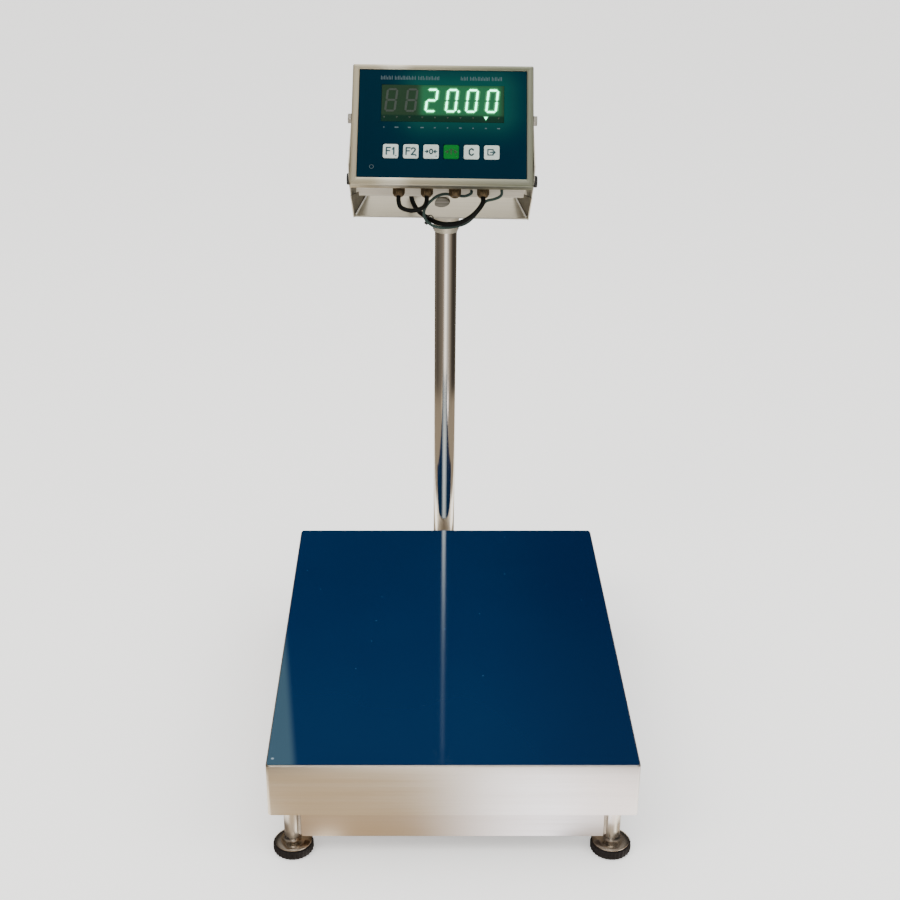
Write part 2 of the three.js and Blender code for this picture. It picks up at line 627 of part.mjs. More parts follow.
// A thin lead from the shell, down along the indicator cable's loop and back up into the shell.
const sensorCable = () =>
  cable([
    shellOutlet(41, 53), shellOutlet(41, 53, 4), [33, -100, 689.5], [18.5, -100, 690.5], [7, -104, 693],
    [-3, -109, 692.5], [-11, -112, 688], [-19, -113.5, 680], [-23, -114.5, 671], [-21.5, -116, 662],
    [-14, -118.8, 654.6], [-5, -122.5, 652], [7, -125, 652], [20, -125.5, 654], [33, -125, 658],
    [42, -123.5, 664.5], [49.5, -119, 672.5], [55, -112, 680], [62, -108.5, 685.5], [72, -108, 688],
    [79, -108, 691], [82, -109, 695], shellOutlet(82, 44, 4), shellOutlet(82, 44),
  ], THIN_CABLE_RADIUS, 6);

// ---- Assembly ----------------------------------------------------------------------------------

const scale = new THREE.Group();
scale.add(
  piece('load_pan', loadPan(), STAINLESS),
  piece('pan_film', panFilm(), BLUE_FILM),
  piece('load_frame', spider(), STAINLESS),
  piece('base_frame', baseFrame(), STAINLESS),
  piece('load_cell', loadCell(), ALUMINIUM),
  piece('cell_spacer', cellSpacer(CELL_Y + (CELL_LENGTH - CELL_PAD) / 2, BEAM_TOP + GAP), ZINC),
  piece('cell_cable', cellCable(), CABLE_BLACK),
  piece('column_socket', columnSocket(), STAINLESS),
  piece('column_tube', columnTube(), POLISHED),
);

const level = piece('spirit_level', spiritLevel(), BLACK_PLASTIC);
level.position.set(85, CELL_Y + (CELL_LENGTH - CELL_PAD) / 2, 0);
scale.add(level);

const CORNERS = [
  { name: 'front_left', x: -1, y: -1 },
  { name: 'front_right', x: 1, y: -1 },
  { name: 'rear_left', x: -1, y: 1 },
  { name: 'rear_right', x: 1, y: 1 },
];
for (const corner of CORNERS) {
  const foot = new THREE.Group();
  foot.position.set(corner.x * FOOT_X, PAN_Y + corner.y * (PAN_LENGTH / 2 - FOOT_INSET), 0);
  foot.add(
    piece(`leg_tube_${corner.name}`, legTube(), STAINLESS),
    piece(`foot_stem_${corner.name}`, footStem(), ZINC),
    piece(`foot_cap_${corner.name}`, footCap(), POLISHED),
    piece(`foot_rubber_${corner.name}`, footRubber(), RUBBER),
  );
  const pad = piece(`pan_pad_${corner.name}`, panPad(), RUBBER);
  pad.position.set(corner.x * SIDE_RAIL_X, PAN_Y + corner.y * (SPIDER_REACH - 14), 0);
  const stop = piece(`overload_stop_${corner.name}`, overloadStop(), ZINC);
  stop.position.set(corner.x * SIDE_RAIL_X, PAN_Y + corner.y * (SPIDER_REACH - 60), 0);
  scale.add(foot, pad, stop);
}

const swivel = new THREE.Group();
swivel.position.set(COLUMN_X, COLUMN_Y, LEAN_HEIGHT);
swivel.rotation.set(0, THREE.MathUtils.degToRad(YOKE_LEAN), THREE.MathUtils.degToRad(YOKE_TURN), 'ZYX');
scale.add(swivel);

const yoke = new THREE.Group();
yoke.position.set(YOKE_SIDE, 0, -LEAN_HEIGHT);
yoke.add(
  piece('column_collar', columnCollar(), STAINLESS),
  piece('head_bracket', headBracket(), STAINLESS),
  piece('indicator_cable', indicatorCable(), CABLE_BLACK),
  piece('jumper_cable', jumperCable(), CABLE_BLACK),
  piece('sensor_cable', sensorCable(), CABLE_GREY),
);
swivel.add(yoke);

const indicator = new THREE.Group();
indicator.position.set(0, PIVOT_Y, PIVOT_Z);
indicator.rotation.x = THREE.MathUtils.degToRad(-TILT);
yoke.add(indicator);

const face = new THREE.Group();
face.position.set(0, -PIVOT_DEPTH, -PIVOT_RISE);
face.add(
  piece('front_bezel', frontBezel(), STAINLESS),
  piece('bezel_gasket', bezelGasket(), RUBBER),
  piece('rear_shell', rearShell(), STAINLESS),
  piece('front_panel', frontPanel(), NAVY_PANEL),
  piece('display_window', displayWindow(), DARK_WINDOW),
  piece('display_board', displayBoard(), BOARD_GREEN),
  piece('main_board', mainBoard(), BOARD_GREEN),
  piece('pivot_bolt_left', pivotBolt(-1), ZINC),
  piece('pivot_bolt_right', pivotBolt(1), ZINC),
  piece('lock_knob_left', lockKnob(-1), BLACK_PLASTIC),
  piece('lock_knob_right', lockKnob(1), BLACK_PLASTIC),
);
KEY_NAMES.forEach((name, i) => {
  face.add(piece(`key_${name}`, key(keyX(i)), name === 'tare' ? KEY_GREEN : KEY_GREY));
});
GLAND_X.forEach((x, i) => face.add(piece(`cable_gland_${i + 1}`, cableGland(x), NICKEL_BRASS)));
indicator.add(face);

export default scale;
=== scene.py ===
import json
import math

import bmesh
import bpy
from mathutils import Matrix, Vector


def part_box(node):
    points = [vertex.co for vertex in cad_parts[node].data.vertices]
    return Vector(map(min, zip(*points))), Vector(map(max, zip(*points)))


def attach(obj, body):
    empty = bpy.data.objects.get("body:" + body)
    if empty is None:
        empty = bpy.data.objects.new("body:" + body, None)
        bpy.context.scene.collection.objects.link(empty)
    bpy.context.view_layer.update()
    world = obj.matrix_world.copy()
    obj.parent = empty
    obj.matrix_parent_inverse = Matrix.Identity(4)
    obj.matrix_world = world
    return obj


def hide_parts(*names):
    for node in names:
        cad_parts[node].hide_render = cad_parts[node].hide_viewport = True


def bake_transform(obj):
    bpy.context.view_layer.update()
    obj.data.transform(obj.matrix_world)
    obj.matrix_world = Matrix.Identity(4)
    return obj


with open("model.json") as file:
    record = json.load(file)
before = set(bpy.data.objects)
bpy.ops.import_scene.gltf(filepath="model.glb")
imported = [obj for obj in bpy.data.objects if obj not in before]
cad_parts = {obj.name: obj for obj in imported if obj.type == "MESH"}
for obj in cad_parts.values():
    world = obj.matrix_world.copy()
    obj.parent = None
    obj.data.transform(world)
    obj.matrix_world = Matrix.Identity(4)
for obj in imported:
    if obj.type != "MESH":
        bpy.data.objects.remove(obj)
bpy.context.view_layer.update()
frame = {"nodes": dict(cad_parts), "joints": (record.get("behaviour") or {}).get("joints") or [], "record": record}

MM = 0.001
UP_AXIS = Vector((0, 0, 1))
BODY_OF = {n: b for b, names in frame["record"]["behaviour"]["bodies"].items() for n in names}
JOINTS = {joint["name"]: joint for joint in frame["joints"]}
CORNERS = ["front_left", "front_right", "rear_left", "rear_right"]
KEYS = ["f1", "f2", "zero", "tare", "clear", "print"]


# ---- Local frames ----

def placed(origin, x_axis, y_axis, z_axis):
    m = Matrix((x_axis, y_axis, z_axis)).transposed().to_4x4()
    m.translation = origin
    return m


def span(node, place):
    """Lowest and highest corner of a CAD node in a local frame."""
    inverse = place.inverted()
    points = [inverse @ v.co for v in frame["nodes"][node].data.vertices]
    low = Vector([min(p[i] for p in points) for i in range(3)])
    high = Vector([max(p[i] for p in points) for i in range(3)])
    return low, high


WORLD = Matrix.Identity(4)
across = Vector(JOINTS["head_tilt"]["axis"]).normalized()
behind = UP_AXIS.cross(across).normalized()
pivot = Vector(JOINTS["head_tilt"]["pos_m"])
inward = Vector(JOINTS["key_f1_press"]["axis"]).normalized()
up_face = across.cross(inward)
swivel = Vector(JOINTS["head_swivel"]["pos_m"])

# The yoke's frame, with heights above the floor. It leaves the column's axis at LEAN_HEIGHT.
LEAN_HEIGHT = 0.635
yoke_up = across.cross(behind)
lean_point = Vector((swivel.x, swivel.y, LEAN_HEIGHT))
to_pivot = pivot - lean_point
YOKE = placed(
    pivot - behind * to_pivot.dot(behind) - yoke_up * (to_pivot.dot(yoke_up) + LEAN_HEIGHT),
    across, behind, yoke_up,
)
# The face's frame: x across, y going in, z up the face, from the middle of the bezel's front.
rough = placed(pivot, across, inward, up_face)
bezel_low, bezel_high = span("front_bezel", rough)
FACE = placed(
    rough @ Vector((
        (bezel_low.x + bezel_high.x) / 2, bezel_low.y, (bezel_low.z + bezel_high.z) / 2 - 0.5 * MM
    )),
    across, inward, up_face,
)


def new_object(name, data):
    obj = bpy.data.objects.new(name, data)
    bpy.context.scene.collection.objects.link(obj)
    return obj


# ---- Camera ----

camera = new_object("camera", bpy.data.cameras.new("camera"))
bpy.context.scene.camera = camera
camera.data.lens = 60
camera.data.sensor_width = 36
camera.data.shift_x = 0.0322
camera.location = (-0.0385, -1.801175, 1.2362)
camera.rotation_euler = (math.radians(65.11), 0, 0)


# ---- Mesh building ----

SHARP = math.radians(35)
BEVEL_ABOVE = math.radians(30)
FLAT = math.radians(0.5)
SAME_POINT = 1e-6


def finished(bm, name, place, material, body, nodes=(), bevel=0.0, segments=2):
    """Turns a bmesh in the local frame place into a piece on a body."""
    bmesh.ops.recalc_face_normals(bm, faces=bm.faces)
    for face in bm.faces:
        face.smooth = True
    for edge in bm.edges:
        if len(edge.link_faces) == 2:
            edge.smooth = edge.calc_face_angle(0) < SHARP
    mesh = bpy.data.meshes.new(name)
    bm.to_mesh(mesh)
    bm.free()
    obj = new_object(name, mesh)
    obj.matrix_world = place
    mesh.materials.append(material)
    if bevel:
        modifier = obj.modifiers.new("bevel", "BEVEL")
        modifier.width = bevel
        modifier.segments = segments
        modifier.limit_method = "ANGLE"
        modifier.angle_limit = BEVEL_ABOVE
        modifier.harden_normals = True
        modifier.use_clamp_overlap = True
    if body:
        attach(obj, body)
    if nodes:
        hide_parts(*nodes)
    return obj


def look(bm, node, place, material, bevel=0.0, segments=2):
    """Finishes the piece that replaces a CAD node, on the node's body."""
    return finished(bm, node + "_look", place, material, BODY_OF[node], [node],
                    bevel, segments)


def from_node(node, place, material, bevel=0.4, segments=2):
    """A clean copy of a CAD node in a local frame, its faces joined and its edges eased."""
    bm = bmesh.new()
    bm.from_mesh(frame["nodes"][node].data)
    bmesh.ops.transform(bm, matrix=place.inverted(), verts=bm.verts)
    bmesh.ops.remove_doubles(bm, verts=bm.verts, dist=SAME_POINT)
    bmesh.ops.dissolve_limit(bm, angle_limit=FLAT, verts=bm.verts, edges=bm.edges)
    return look(bm, node, place, material, bevel * MM, segments)


def grid_faces(bm, rings, closed_loop=False):
    """Quads between successive rings of vertices, each ring closed on itself."""
    count = len(rings[0])
    pairs = list(zip(rings, rings[1:]))
    if closed_loop:
        pairs.append((rings[-1], rings[0]))
    for a, b in pairs:
        for i in range(count):
            j = (i + 1) % count
            bm.faces.new((a[i], a[j], b[j], b[i]))


def loft(rings, closed_loop=False, bm=None):
    """A skin over rings of points; the ends are filled unless the loft closes on itself."""
    bm = bm or bmesh.new()
    made = [[bm.verts.new(p) for p in ring] for ring in rings]
    grid_faces(bm, made, closed_loop)
    if not closed_loop:
        bm.faces.new(made[0][::-1])
        bm.faces.new(made[-1])
    return bm


def circle(radius, z, sides, x=0.0, y=0.0, wave=None):
    """A level ring of points; wave(angle) changes its radius."""
    ring = []
    for i in range(sides):
        angle = 2 * math.pi * i / sides
        r = radius + (wave(angle) if wave else 0)
        ring.append(Vector((x + r * math.cos(angle), y + r * math.sin(angle), z)))
    return ring


def lathe(profile, sides=64, x=0.0, y=0.0, wave=None, closed_loop=False, bm=None):
    """A turned body from [radius, height] pairs in millimetres."""
    rings = [
        circle(r * MM, z * MM, sides, x, y, (lambda a, k=k: wave(a, k)) if wave else None)
        for k, (r, z) in enumerate(profile)
    ]
    return loft(rings, closed_loop, bm)


def raised(profile, height):
    """A lathe profile moved up by a height in millimetres."""
    return [[r, z + height] for r, z in profile]


def rounded_outline(width, height, radius, x=0.0, y=0.0, steps=6):
    """The corners of a rounded rectangle, counterclockwise, as (x, y) pairs."""
    points = []
    for quarter, (sx, sy) in enumerate(((1, 1), (-1, 1), (-1, -1), (1, -1))):
        cx = x + sx * (width / 2 - radius)
        cy = y + sy * (height / 2 - radius)
        for k in range(steps + 1):
            angle = math.pi / 2 * (quarter + k / steps)
            points.append((cx + radius * math.cos(angle), cy + radius * math.sin(angle)))
    return points


def level_ring(width, length, radius, middle, z):
    """A rounded rectangle of points round middle, level at height z."""
    return [Vector((px, py, z)) for px, py in
            rounded_outline(width, length, radius, middle.x, middle.y)]


def face_ring(width, height, radius, x, z, depth):
    """A rounded rectangle of points round (x, z), parallel to the face at a depth."""
    return [Vector((px, depth, pz)) for px, pz in rounded_outline(width, height, radius, x, z)]


def upright_round(node):
    """An upright round node's axis (x and y), then its radius, foot and top in millimetres."""
    low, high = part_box(node)
    return ((low.x + high.x) / 2, (low.y + high.y) / 2, (high.x - low.x) / 2 / MM,
            low.z / MM, high.z / MM)


def frames_along(points):
    """A pair of steady cross directions at each point of a path."""
    tangents = []
    for i in range(len(points)):
        a = points[max(i - 1, 0)]
        b = points[min(i + 1, len(points) - 1)]
        tangents.append((b - a).normalized())
    side = tangents[0].orthogonal().normalized()
    pairs = []
    for t in tangents:
        side = (side - t * side.dot(t)).normalized()
        pairs.append((side, t.cross(side)))
    return pairs


def tube(points, radius, sides, bm, wave=None):
    """A round tube along a path of points."""
    rings = []
    for k, (p, (u, v)) in enumerate(zip(points, frames_along(points))):
        r = radius + (wave(k / (len(points) - 1)) if wave else 0)
        rings.append([
            p + (u * math.cos(a) + v * math.sin(a)) * r
            for a in (2 * math.pi * i / sides for i in range(sides))
        ])
    return loft(rings, bm=bm)


def smooth_path(points, per_span):
    """A centripetal Catmull-Rom curve through the points."""
    ends = [points[0] * 2 - points[1], *points, points[-1] * 2 - points[-2]]
    path = []
    for i in range(1, len(ends) - 2):
        p = ends[i - 1:i + 3]
        t = [0.0]
        for a, b in zip(p, p[1:]):
            t.append(t[-1] + max((b - a).length, SAME_POINT) ** 0.5)
        for k in range(per_span):
            now = t[1] + (t[2] - t[1]) * k / per_span

            def between(a, b, i, j):
                return a.lerp(b, (now - t[i]) / (t[j] - t[i]))

            a1, a2, a3 = (between(p[j], p[j + 1], j, j + 1) for j in range(3))
            path.append(between(between(a1, a2, 0, 2), between(a2, a3, 1, 3), 1, 2))
    path.append(points[-1].copy())
    return path


def tubes(paths, radius, sides, wave=None):
    """Several tubes in one mesh."""
    bm = bmesh.new()
    for path in paths:
        tube(path, radius, sides, bm, wave)
    return bm


def studs(middle, angles, r0, r1):
    """Level paths outwards from an upright axis, between two radii in millimetres."""
    outward = [Vector((math.cos(a), math.sin(a), 0)) for a in angles]
    return [[middle + out * r * MM for r in (r0, r1)] for out in outward]


def slab(outline, y0, y1, bm):
    """A plate on the face from an (x, z) outline, between depths y0 (front) and y1 (back)."""
    return loft([[Vector((x, y, z)) for x, z in outline] for y in (y0, y1)], bm=bm)


def stroke(points, width, y0, y1, bm, closed=False):
    """A line of constant width with round ends, as a thin plate on the face; points are (x, z)."""
    pts = [Vector(p) for p in points]
    spans = list(zip(pts, pts[1:] + ([pts[0]] if closed else [])))
    for a, b in spans if closed else spans[:len(pts) - 1]:
        along = (b - a).normalized() if (b - a).length > 1e-9 else Vector((1, 0))
        start = math.atan2(along.y, along.x) + math.pi / 2
        outline = []
        for centre, turn in ((a, 0), (b, math.pi)):
            for k in range(7):
                angle = start + turn + math.pi * k / 6
                outline.append((
                    centre.x + width / 2 * math.cos(angle), centre.y + width / 2 * math.sin(angle)
                ))
        slab(outline, y0, y1, bm)
    return bm


# ---- Materials ----

NOISE_ROUGHNESS = 0.55
HAIRLINE = (0.25, 0.22, 0.18)


class Nodes:
    """A node tree, of a new material or given, with short ways to build it."""

    def __init__(self, name=None, tree=None):
        if tree is None:
            self.material = bpy.data.materials.new(name)
            self.material.use_nodes = True
            tree = self.material.node_tree
            self.shader = tree.nodes["Principled BSDF"]
        self.tree = tree

    def add(self, kind, **inputs):
        node = self.tree.nodes.new("ShaderNode" + kind)
        for key, value in inputs.items():
            self.put(node.inputs[key.replace("_", " ")], value)
        return node

    def put(self, socket, value):
        if isinstance(value, bpy.types.NodeSocket):
            self.tree.links.new(value, socket)
        elif socket.type == "RGBA" and len(value) == 3:
            socket.default_value = (*value, 1)
        else:
            socket.default_value = value

    def place(self):
        return self.add("TexCoord").outputs["Object"]

    def noise(self, scale, detail=3.0):
        scale = scale if isinstance(scale, (tuple, list)) else (scale,) * 3
        scaled = self.add("Mapping", Vector=self.place(), Scale=scale)
        return self.add("TexNoise", Detail=detail, Roughness=NOISE_ROUGHNESS, Scale=1.0,
                        Vector=scaled.outputs["Vector"]).outputs["Fac"]

    def math(self, operation, a, b=0.0):
        node = self.add("Math")
        node.operation = operation
        self.put(node.inputs[0], a)
        self.put(node.inputs[1], b)
        return node.outputs[0]

    def plus(self, a, b):
        return self.math("ADD", a, b)

    def minus(self, a, b):
        return self.math("SUBTRACT", a, b)

    def times(self, a, b):
        return self.math("MULTIPLY", a, b)

    def size(self, a):
        return self.math("ABSOLUTE", a)

    def squares(self, a, b):
        return self.plus(self.times(a, a), self.times(b, b))

    def spread(self, value, low, high, to_low, to_high, smooth=False):
        node = self.add("MapRange")
        if smooth:
            node.interpolation_type = "SMOOTHSTEP"
        for socket, v in zip(node.inputs, (value, low, high, to_low, to_high)):
            self.put(socket, v)
        return node.outputs[0]

    def mixed(self, factor, a, b):
        node = self.add("Mix")
        node.data_type = "RGBA"
        for socket, v in (("Factor", factor), ("A", a), ("B", b)):
            self.put(node.inputs[socket], v)
        return node.outputs["Result"]

    def glossy_split(self, seen, mirrored):
        """One shader or world as it is seen and lights, another as glossy rays find it."""
        mix = self.add("MixShader")
        glossy = self.add("LightPath").outputs["Is Glossy Ray"]
        for socket, value in zip(mix.inputs, (glossy, seen, mirrored)):
            self.put(socket, value.outputs[0] if hasattr(value, "outputs") else value)
        return mix.outputs[0]

    def axes(self, vector=None):
        return self.add("SeparateXYZ", Vector=vector or self.place()).outputs

    def bump(self, height, strength, distance=0.2 * MM):
        node = self.add("Bump", Strength=strength, Distance=distance, Height=height)
        self.put(self.shader.inputs["Normal"], node.outputs["Normal"])

    def set(self, **values):
        for key, value in values.items():
            self.put(self.shader.inputs[key.replace("_", " ")], value)
        return self.material


def brushed(name, colour, grain, rough=0.34, depth=0.12, warm=None, streak=0.10, metal=1.0,
            bands=0.22, ears=None):
    """Stainless steel with its grain along one axis (0, 1 or 2).

    The colour may drift from warm at the left, a painted warm light. With ears, faces that look inward are dark, a
    painted shade.
    """
    n = Nodes(name)
    fine = [1400.0] * 3
    fine[grain] = 14.0
    coarse = [260.0] * 3
    coarse[grain] = 3.0
    hair = n.noise(fine, 2.0)
    band = n.noise(coarse, 3.0)
    cloud = n.noise(9, 2.0)
    base = colour
    # Painted warm light: the colour turns warm towards the left.
    if warm:
        base = n.mixed(n.spread(n.axes()[0], -0.22, 0.22, 0, 1, True), warm, colour)
    dark = n.mixed(n.spread(hair, 0.3, 0.7, 0, streak), base, HAIRLINE)
    tone = n.mixed(n.spread(band, 0.35, 0.7, 0, bands), dark, (0.9, 0.87, 0.82))
    # Painted shade: faces of the ears that look inward are darkened as if in shadow.
    if ears:
        normal = n.axes(n.add("TexCoord").outputs["Normal"])
        inward_faces_in_shade = n.math("LESS_THAN", n.times(n.axes()[0], normal[0]), -ears)
        tone = n.mixed(n.times(inward_faces_in_shade, 0.95), tone, (0.10, 0.086, 0.058))
    soiled = n.mixed(n.spread(cloud, 0.45, 0.75, 0, 0.14), tone, (0.42, 0.37, 0.30))
    roughness = n.spread(band, 0.3, 0.7, rough - 0.06, rough + 0.07)
    n.bump(n.plus(n.times(hair, 0.7), n.times(band, 0.3)), depth)
    return n.set(Base_Color=soiled, Metallic=metal, Roughness=roughness, Anisotropic=0.4)


def plain(name, colour, rough, metal=0.0, grain=300.0, depth=0.1, vary=0.12, **more):
    """A moulded, plated or cast surface with a fine texture and slight changes of tone."""
    n = Nodes(name)
    fine = n.noise(grain, 4.0)
    cloud = n.noise(24, 3.0)
    darker = tuple(v * (1 - vary * 2) for v in colour)
    tone = n.mixed(n.spread(cloud, 0.35, 0.7, 0, 1), colour, darker)
    n.bump(fine, depth)
    roughness = n.spread(n.plus(fine, cloud), 0.7, 1.3, rough - 0.05, rough + 0.06)
    return n.set(Base_Color=tone, Metallic=metal, Roughness=roughness, **more)


# The warm colour at the left of the pan and the rails is painted warm light falling from that side.
STEEL_X = brushed("steel_grain_across", (0.72, 0.71, 0.70), 0, warm=(0.66, 0.60, 0.50),
                  streak=0.11, bands=0.10)
STEEL_RAIL = brushed("steel_rail", (0.66, 0.65, 0.65), 0, rough=0.4, warm=(0.58, 0.49, 0.39),
                     bands=0.08)
STEEL_Y = brushed("steel_grain_along", (0.66, 0.64, 0.60), 1)
STEEL_Z = brushed("steel_grain_upright", (0.66, 0.63, 0.58), 2, rough=0.28)
# Its ears setting paints shade on the inner faces of the bracket's ears.
STEEL_HEAD = brushed("steel_bracket", (0.66, 0.61, 0.48), 0, rough=0.42, metal=0.75,
                     ears=0.02)
# Painted shade: the shell's steel is darkened so that its underside below the bezel looks shaded.
STEEL_SHELL_SHADED = brushed("steel_shell_painted_shade", (0.50, 0.46, 0.37), 0, rough=0.45, metal=0.5)
# Painted shade: a darkened steel for the column's cap, which lies in shade under the bracket's floor.
STEEL_SHADED_INSIDE = brushed("steel_inside_painted_shade", (0.14, 0.13, 0.10), 0, rough=0.6, metal=0.3)
ZINC = plain("zinc_plate", (0.55, 0.54, 0.50), 0.36, 1.0, 600, 0.06)
ALUMINIUM = brushed("milled_aluminium", (0.76, 0.77, 0.78), 1, rough=0.38)
RUBBER = plain("black_rubber", (0.010, 0.0072, 0.0072), 0.72, 0.0, 900, 0.35,
               Specular_IOR_Level=0.3)
BLACK_PLASTIC = plain("black_plastic", (0.014, 0.014, 0.015), 0.42, 0.0, 1400, 0.2)
CABLE_BLACK = plain("cable_black", (0.004, 0.0045, 0.004), 0.5, 0.0, 700, 0.15,
                    Specular_IOR_Level=0.12)
CABLE_GREY = plain("cable_grey", (0.024, 0.044, 0.038), 0.5, 0.0, 700, 0.15,
                   Specular_IOR_Level=0.2)
BRASS = plain("nickel_brass", (0.17, 0.125, 0.07), 0.42, 0.9, 500, 0.08)
WELD = plain("weld_bead", (0.60, 0.52, 0.43), 0.5, 0.6, 350, 0.5, 0.15)
# A painted highlight: near-white steel for the bright edges of the bracket's corner plates.
EDGE_HIGHLIGHT = plain("painted_edge_highlight", (0.95, 0.92, 0.84), 0.4, 0.2, 500, 0.1, 0.03)
KEY_GREY = plain("key_grey", (0.40, 0.46, 0.425), 0.45, 0.0, 900, 0.1, 0.05)
KEY_GREEN = plain("key_green", (0.0, 0.10, 0.012), 0.45, 0.0, 900, 0.1, 0.05,
                  Specular_IOR_Level=0.08)
KEY_INK = plain("key_ink", (0.01, 0.05, 0.06), 0.5, 0.0, 900, 0.05)
KEY_INK_LIGHT = plain("key_ink_light", (0.004, 0.05, 0.01), 0.5, 0.0, 900, 0.05)
PRINT = plain("panel_print", (0.048, 0.085, 0.098), 0.5, 0.0, 900, 0.05)
POLISHED = brushed("polished_tube", (0.78, 0.75, 0.70), 2, rough=0.13, depth=0.02, streak=0.05,
                   bands=0.1)
CAP_STEEL = plain("polished_cap", (0.66, 0.58, 0.50), 0.2, 1.0, 60, 0.05)


def board_material():
    n = Nodes("solder_mask")
    tracks = n.add("TexWave", Scale=160.0, Distortion=6.0, Detail=2.0, Vector=n.place())
    line = n.spread(tracks.outputs["Fac"], 0.42, 0.5, 0, 1)
    tone = n.mixed(line, (0.01, 0.09, 0.035), (0.02, 0.16, 0.06))
    n.bump(line, 0.2, 0.1 * MM)
    return n.set(Base_Color=tone, Roughness=0.42)


BOARD = board_material()


def film_material(width, length, middle_y):
    """Blue protective film: glossy, faintly rippled, with a few specks, darker towards the right, and a painted
    sheen along the left edge.
    """
    n = Nodes("blue_film")
    x, y, _ = n.axes()
    # The sheen along the left edge widens towards the front.
    inward = n.plus(x, width / 2)
    reach = n.spread(y, middle_y - length / 2, middle_y + 0.04, 34 * MM, -6 * MM)
    edge = n.spread(n.minus(inward, reach), -7 * MM, 5 * MM, 1, 0, True)
    deep = n.mixed(n.noise(5, 2.0), (0.0, 0.0115, 0.047), (0.0, 0.0155, 0.056))
    deep = n.mixed(n.spread(x, 0.0, width / 2, 0, 0.6, True), deep, (0.0, 0.0065, 0.031))
    toned = n.mixed(n.times(edge, 0.85), deep, (0.033, 0.070, 0.100))
    spot_x = n.minus(inward, 6 * MM)
    spot_y = n.minus(y, middle_y - length / 2 + 12 * MM)
    spot = n.spread(n.squares(spot_x, spot_y), (1.2 * MM) ** 2, (2.2 * MM) ** 2, 0.8, 0)
    toned = n.mixed(spot, toned, (0.25, 0.33, 0.4))
    speck = n.add("TexVoronoi", Scale=26.0, Vector=n.place())
    dot = n.spread(speck.outputs["Distance"], 0.02, 0.035, 0.5, 0)
    toned = n.mixed(dot, toned, (0.03, 0.10, 0.20))
    ripple = n.noise((22, 7, 22), 2.0)
    fine = n.noise(420, 2.0)
    n.bump(n.plus(ripple, n.times(fine, 0.02)), 0.03, 0.6 * MM)
    return n.set(
        Base_Color=toned, Roughness=n.spread(fine, 0.3, 0.7, 0.045, 0.07), IOR=1.5,
        Specular_Tint=(0.35, 0.75, 1.0),
    )


# ---- Platform ----

PAN_SHEET = 1.5 * MM
PAN_CORNER = 4.5 * MM
PAN_EASE = 2.0 * MM
FILM_INSET = 1.7 * MM
FILM_CORNER = 2.6 * MM


def pan_shell():
    """The load pan: a folded tray with eased edges, rounded corners and a returned lower hem."""
    low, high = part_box("load_pan")
    inner = PAN_CORNER - PAN_SHEET
    levels = [
        (PAN_SHEET + 6 * MM, high.z - PAN_SHEET, inner),
        (PAN_SHEET + 2 * MM, high.z - PAN_SHEET, inner),
        (PAN_SHEET, high.z - PAN_SHEET - 2 * MM, inner), (PAN_SHEET, low.z + 1.0 * MM, inner),
        (PAN_SHEET * 0.7, low.z + 0.15 * MM, inner), (PAN_SHEET * 0.4, low.z, PAN_CORNER),
        (0, low.z + 0.5 * MM, PAN_CORNER), (0, low.z + 12 * MM, PAN_CORNER),
        (0, high.z - PAN_EASE - 12 * MM, PAN_CORNER),
    ]
    for k in range(7):
        angle = math.pi / 2 * k / 6
        levels.append((PAN_EASE * (1 - math.cos(angle)), high.z - PAN_EASE * (1 - math.sin(angle)),
                       PAN_CORNER))
    levels.append((PAN_EASE + 4 * MM, high.z, PAN_CORNER))
    width, length, middle = high.x - low.x, high.y - low.y, (low + high) / 2
    look(loft([level_ring(width - 2 * inset, length - 2 * inset, radius, middle, z)
               for inset, z, radius in levels]), "load_pan", WORLD, STEEL_X)


def pan_film():
    low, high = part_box("pan_film")
    pan_low, pan_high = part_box("load_pan")
    middle = (low + high) / 2
    width = pan_high.x - pan_low.x - 2 * FILM_INSET
    length = pan_high.y - pan_low.y - 2 * FILM_INSET
    levels = ((0.1, low.z), (0, low.z + 0.1 * MM), (0, high.z - 0.12 * MM), (0.12, high.z))
    look(loft([level_ring(width - 2 * shrink * MM, length - 2 * shrink * MM, FILM_CORNER, middle, z)
               for shrink, z in levels]), "pan_film", WORLD, film_material(width, length, middle.y))


def platform():
    pan_shell()
    pan_film()
    from_node("base_frame", WORLD, STEEL_RAIL, 0.9, 3)
    from_node("load_frame", WORLD, STEEL_Y, 0.6)
    from_node("load_cell", WORLD, ALUMINIUM, 0.5)
    from_node("cell_spacer", WORLD, ZINC, 0.3)
    from_node("column_socket", WORLD, STEEL_Y, 0.8, 3)
    for corner in CORNERS:
        from_node("overload_stop_" + corner, WORLD, ZINC, 0.4)
        x, y, r, z0, z1 = upright_round("pan_pad_" + corner)
        profile = [[r - 1, z0], [r, z0 + 0.8], [r - 0.6, (z0 + z1) / 2], [r, z1 - 0.8], [r - 1, z1]]
        look(lathe(profile, 48, x, y), "pan_pad_" + corner, WORLD, RUBBER)
    x, y, _, z, _ = upright_round("spirit_level")
    cup = [[14.6, 0], [15, 0.4], [15, 2.2], [14.6, 2.6], [12.2, 2.8], [12, 8], [11.6, 8.8],
           [9.5, 9.2], [9.3, 8.2]]
    dome = [[9.0, 8.4], [9.0, 9.0], [8.6, 9.4], [4, 9.9], [0.5, 10]]
    line = [[3.6, 10.1], [4.2, 10.1], [4.2, 10.25], [3.6, 10.25]]
    look(lathe(raised(cup, z), 64, x, y), "spirit_level", WORLD, BLACK_PLASTIC)
    vial = plain("level_vial", (0.35, 0.62, 0.06), 0.12, 0.0, 200, 0.02)
    finished(lathe(raised(dome, z), 48, x, y), "spirit_level_vial", WORLD, vial, "base")
    finished(lathe(raised(line, z), 40, x, y, closed_loop=True), "spirit_level_ring", WORLD,
             BLACK_PLASTIC, "base")


THREAD_PITCH = 1.75 * MM
RUBBER_RIBS = 30
LEG_BORE = 6.7
LEG_SLEEVE = 7.7
LEG_REACH = 3.6  # how far the tube's look reaches below its CAD solid, in millimetres
WELD_STEPS = 44


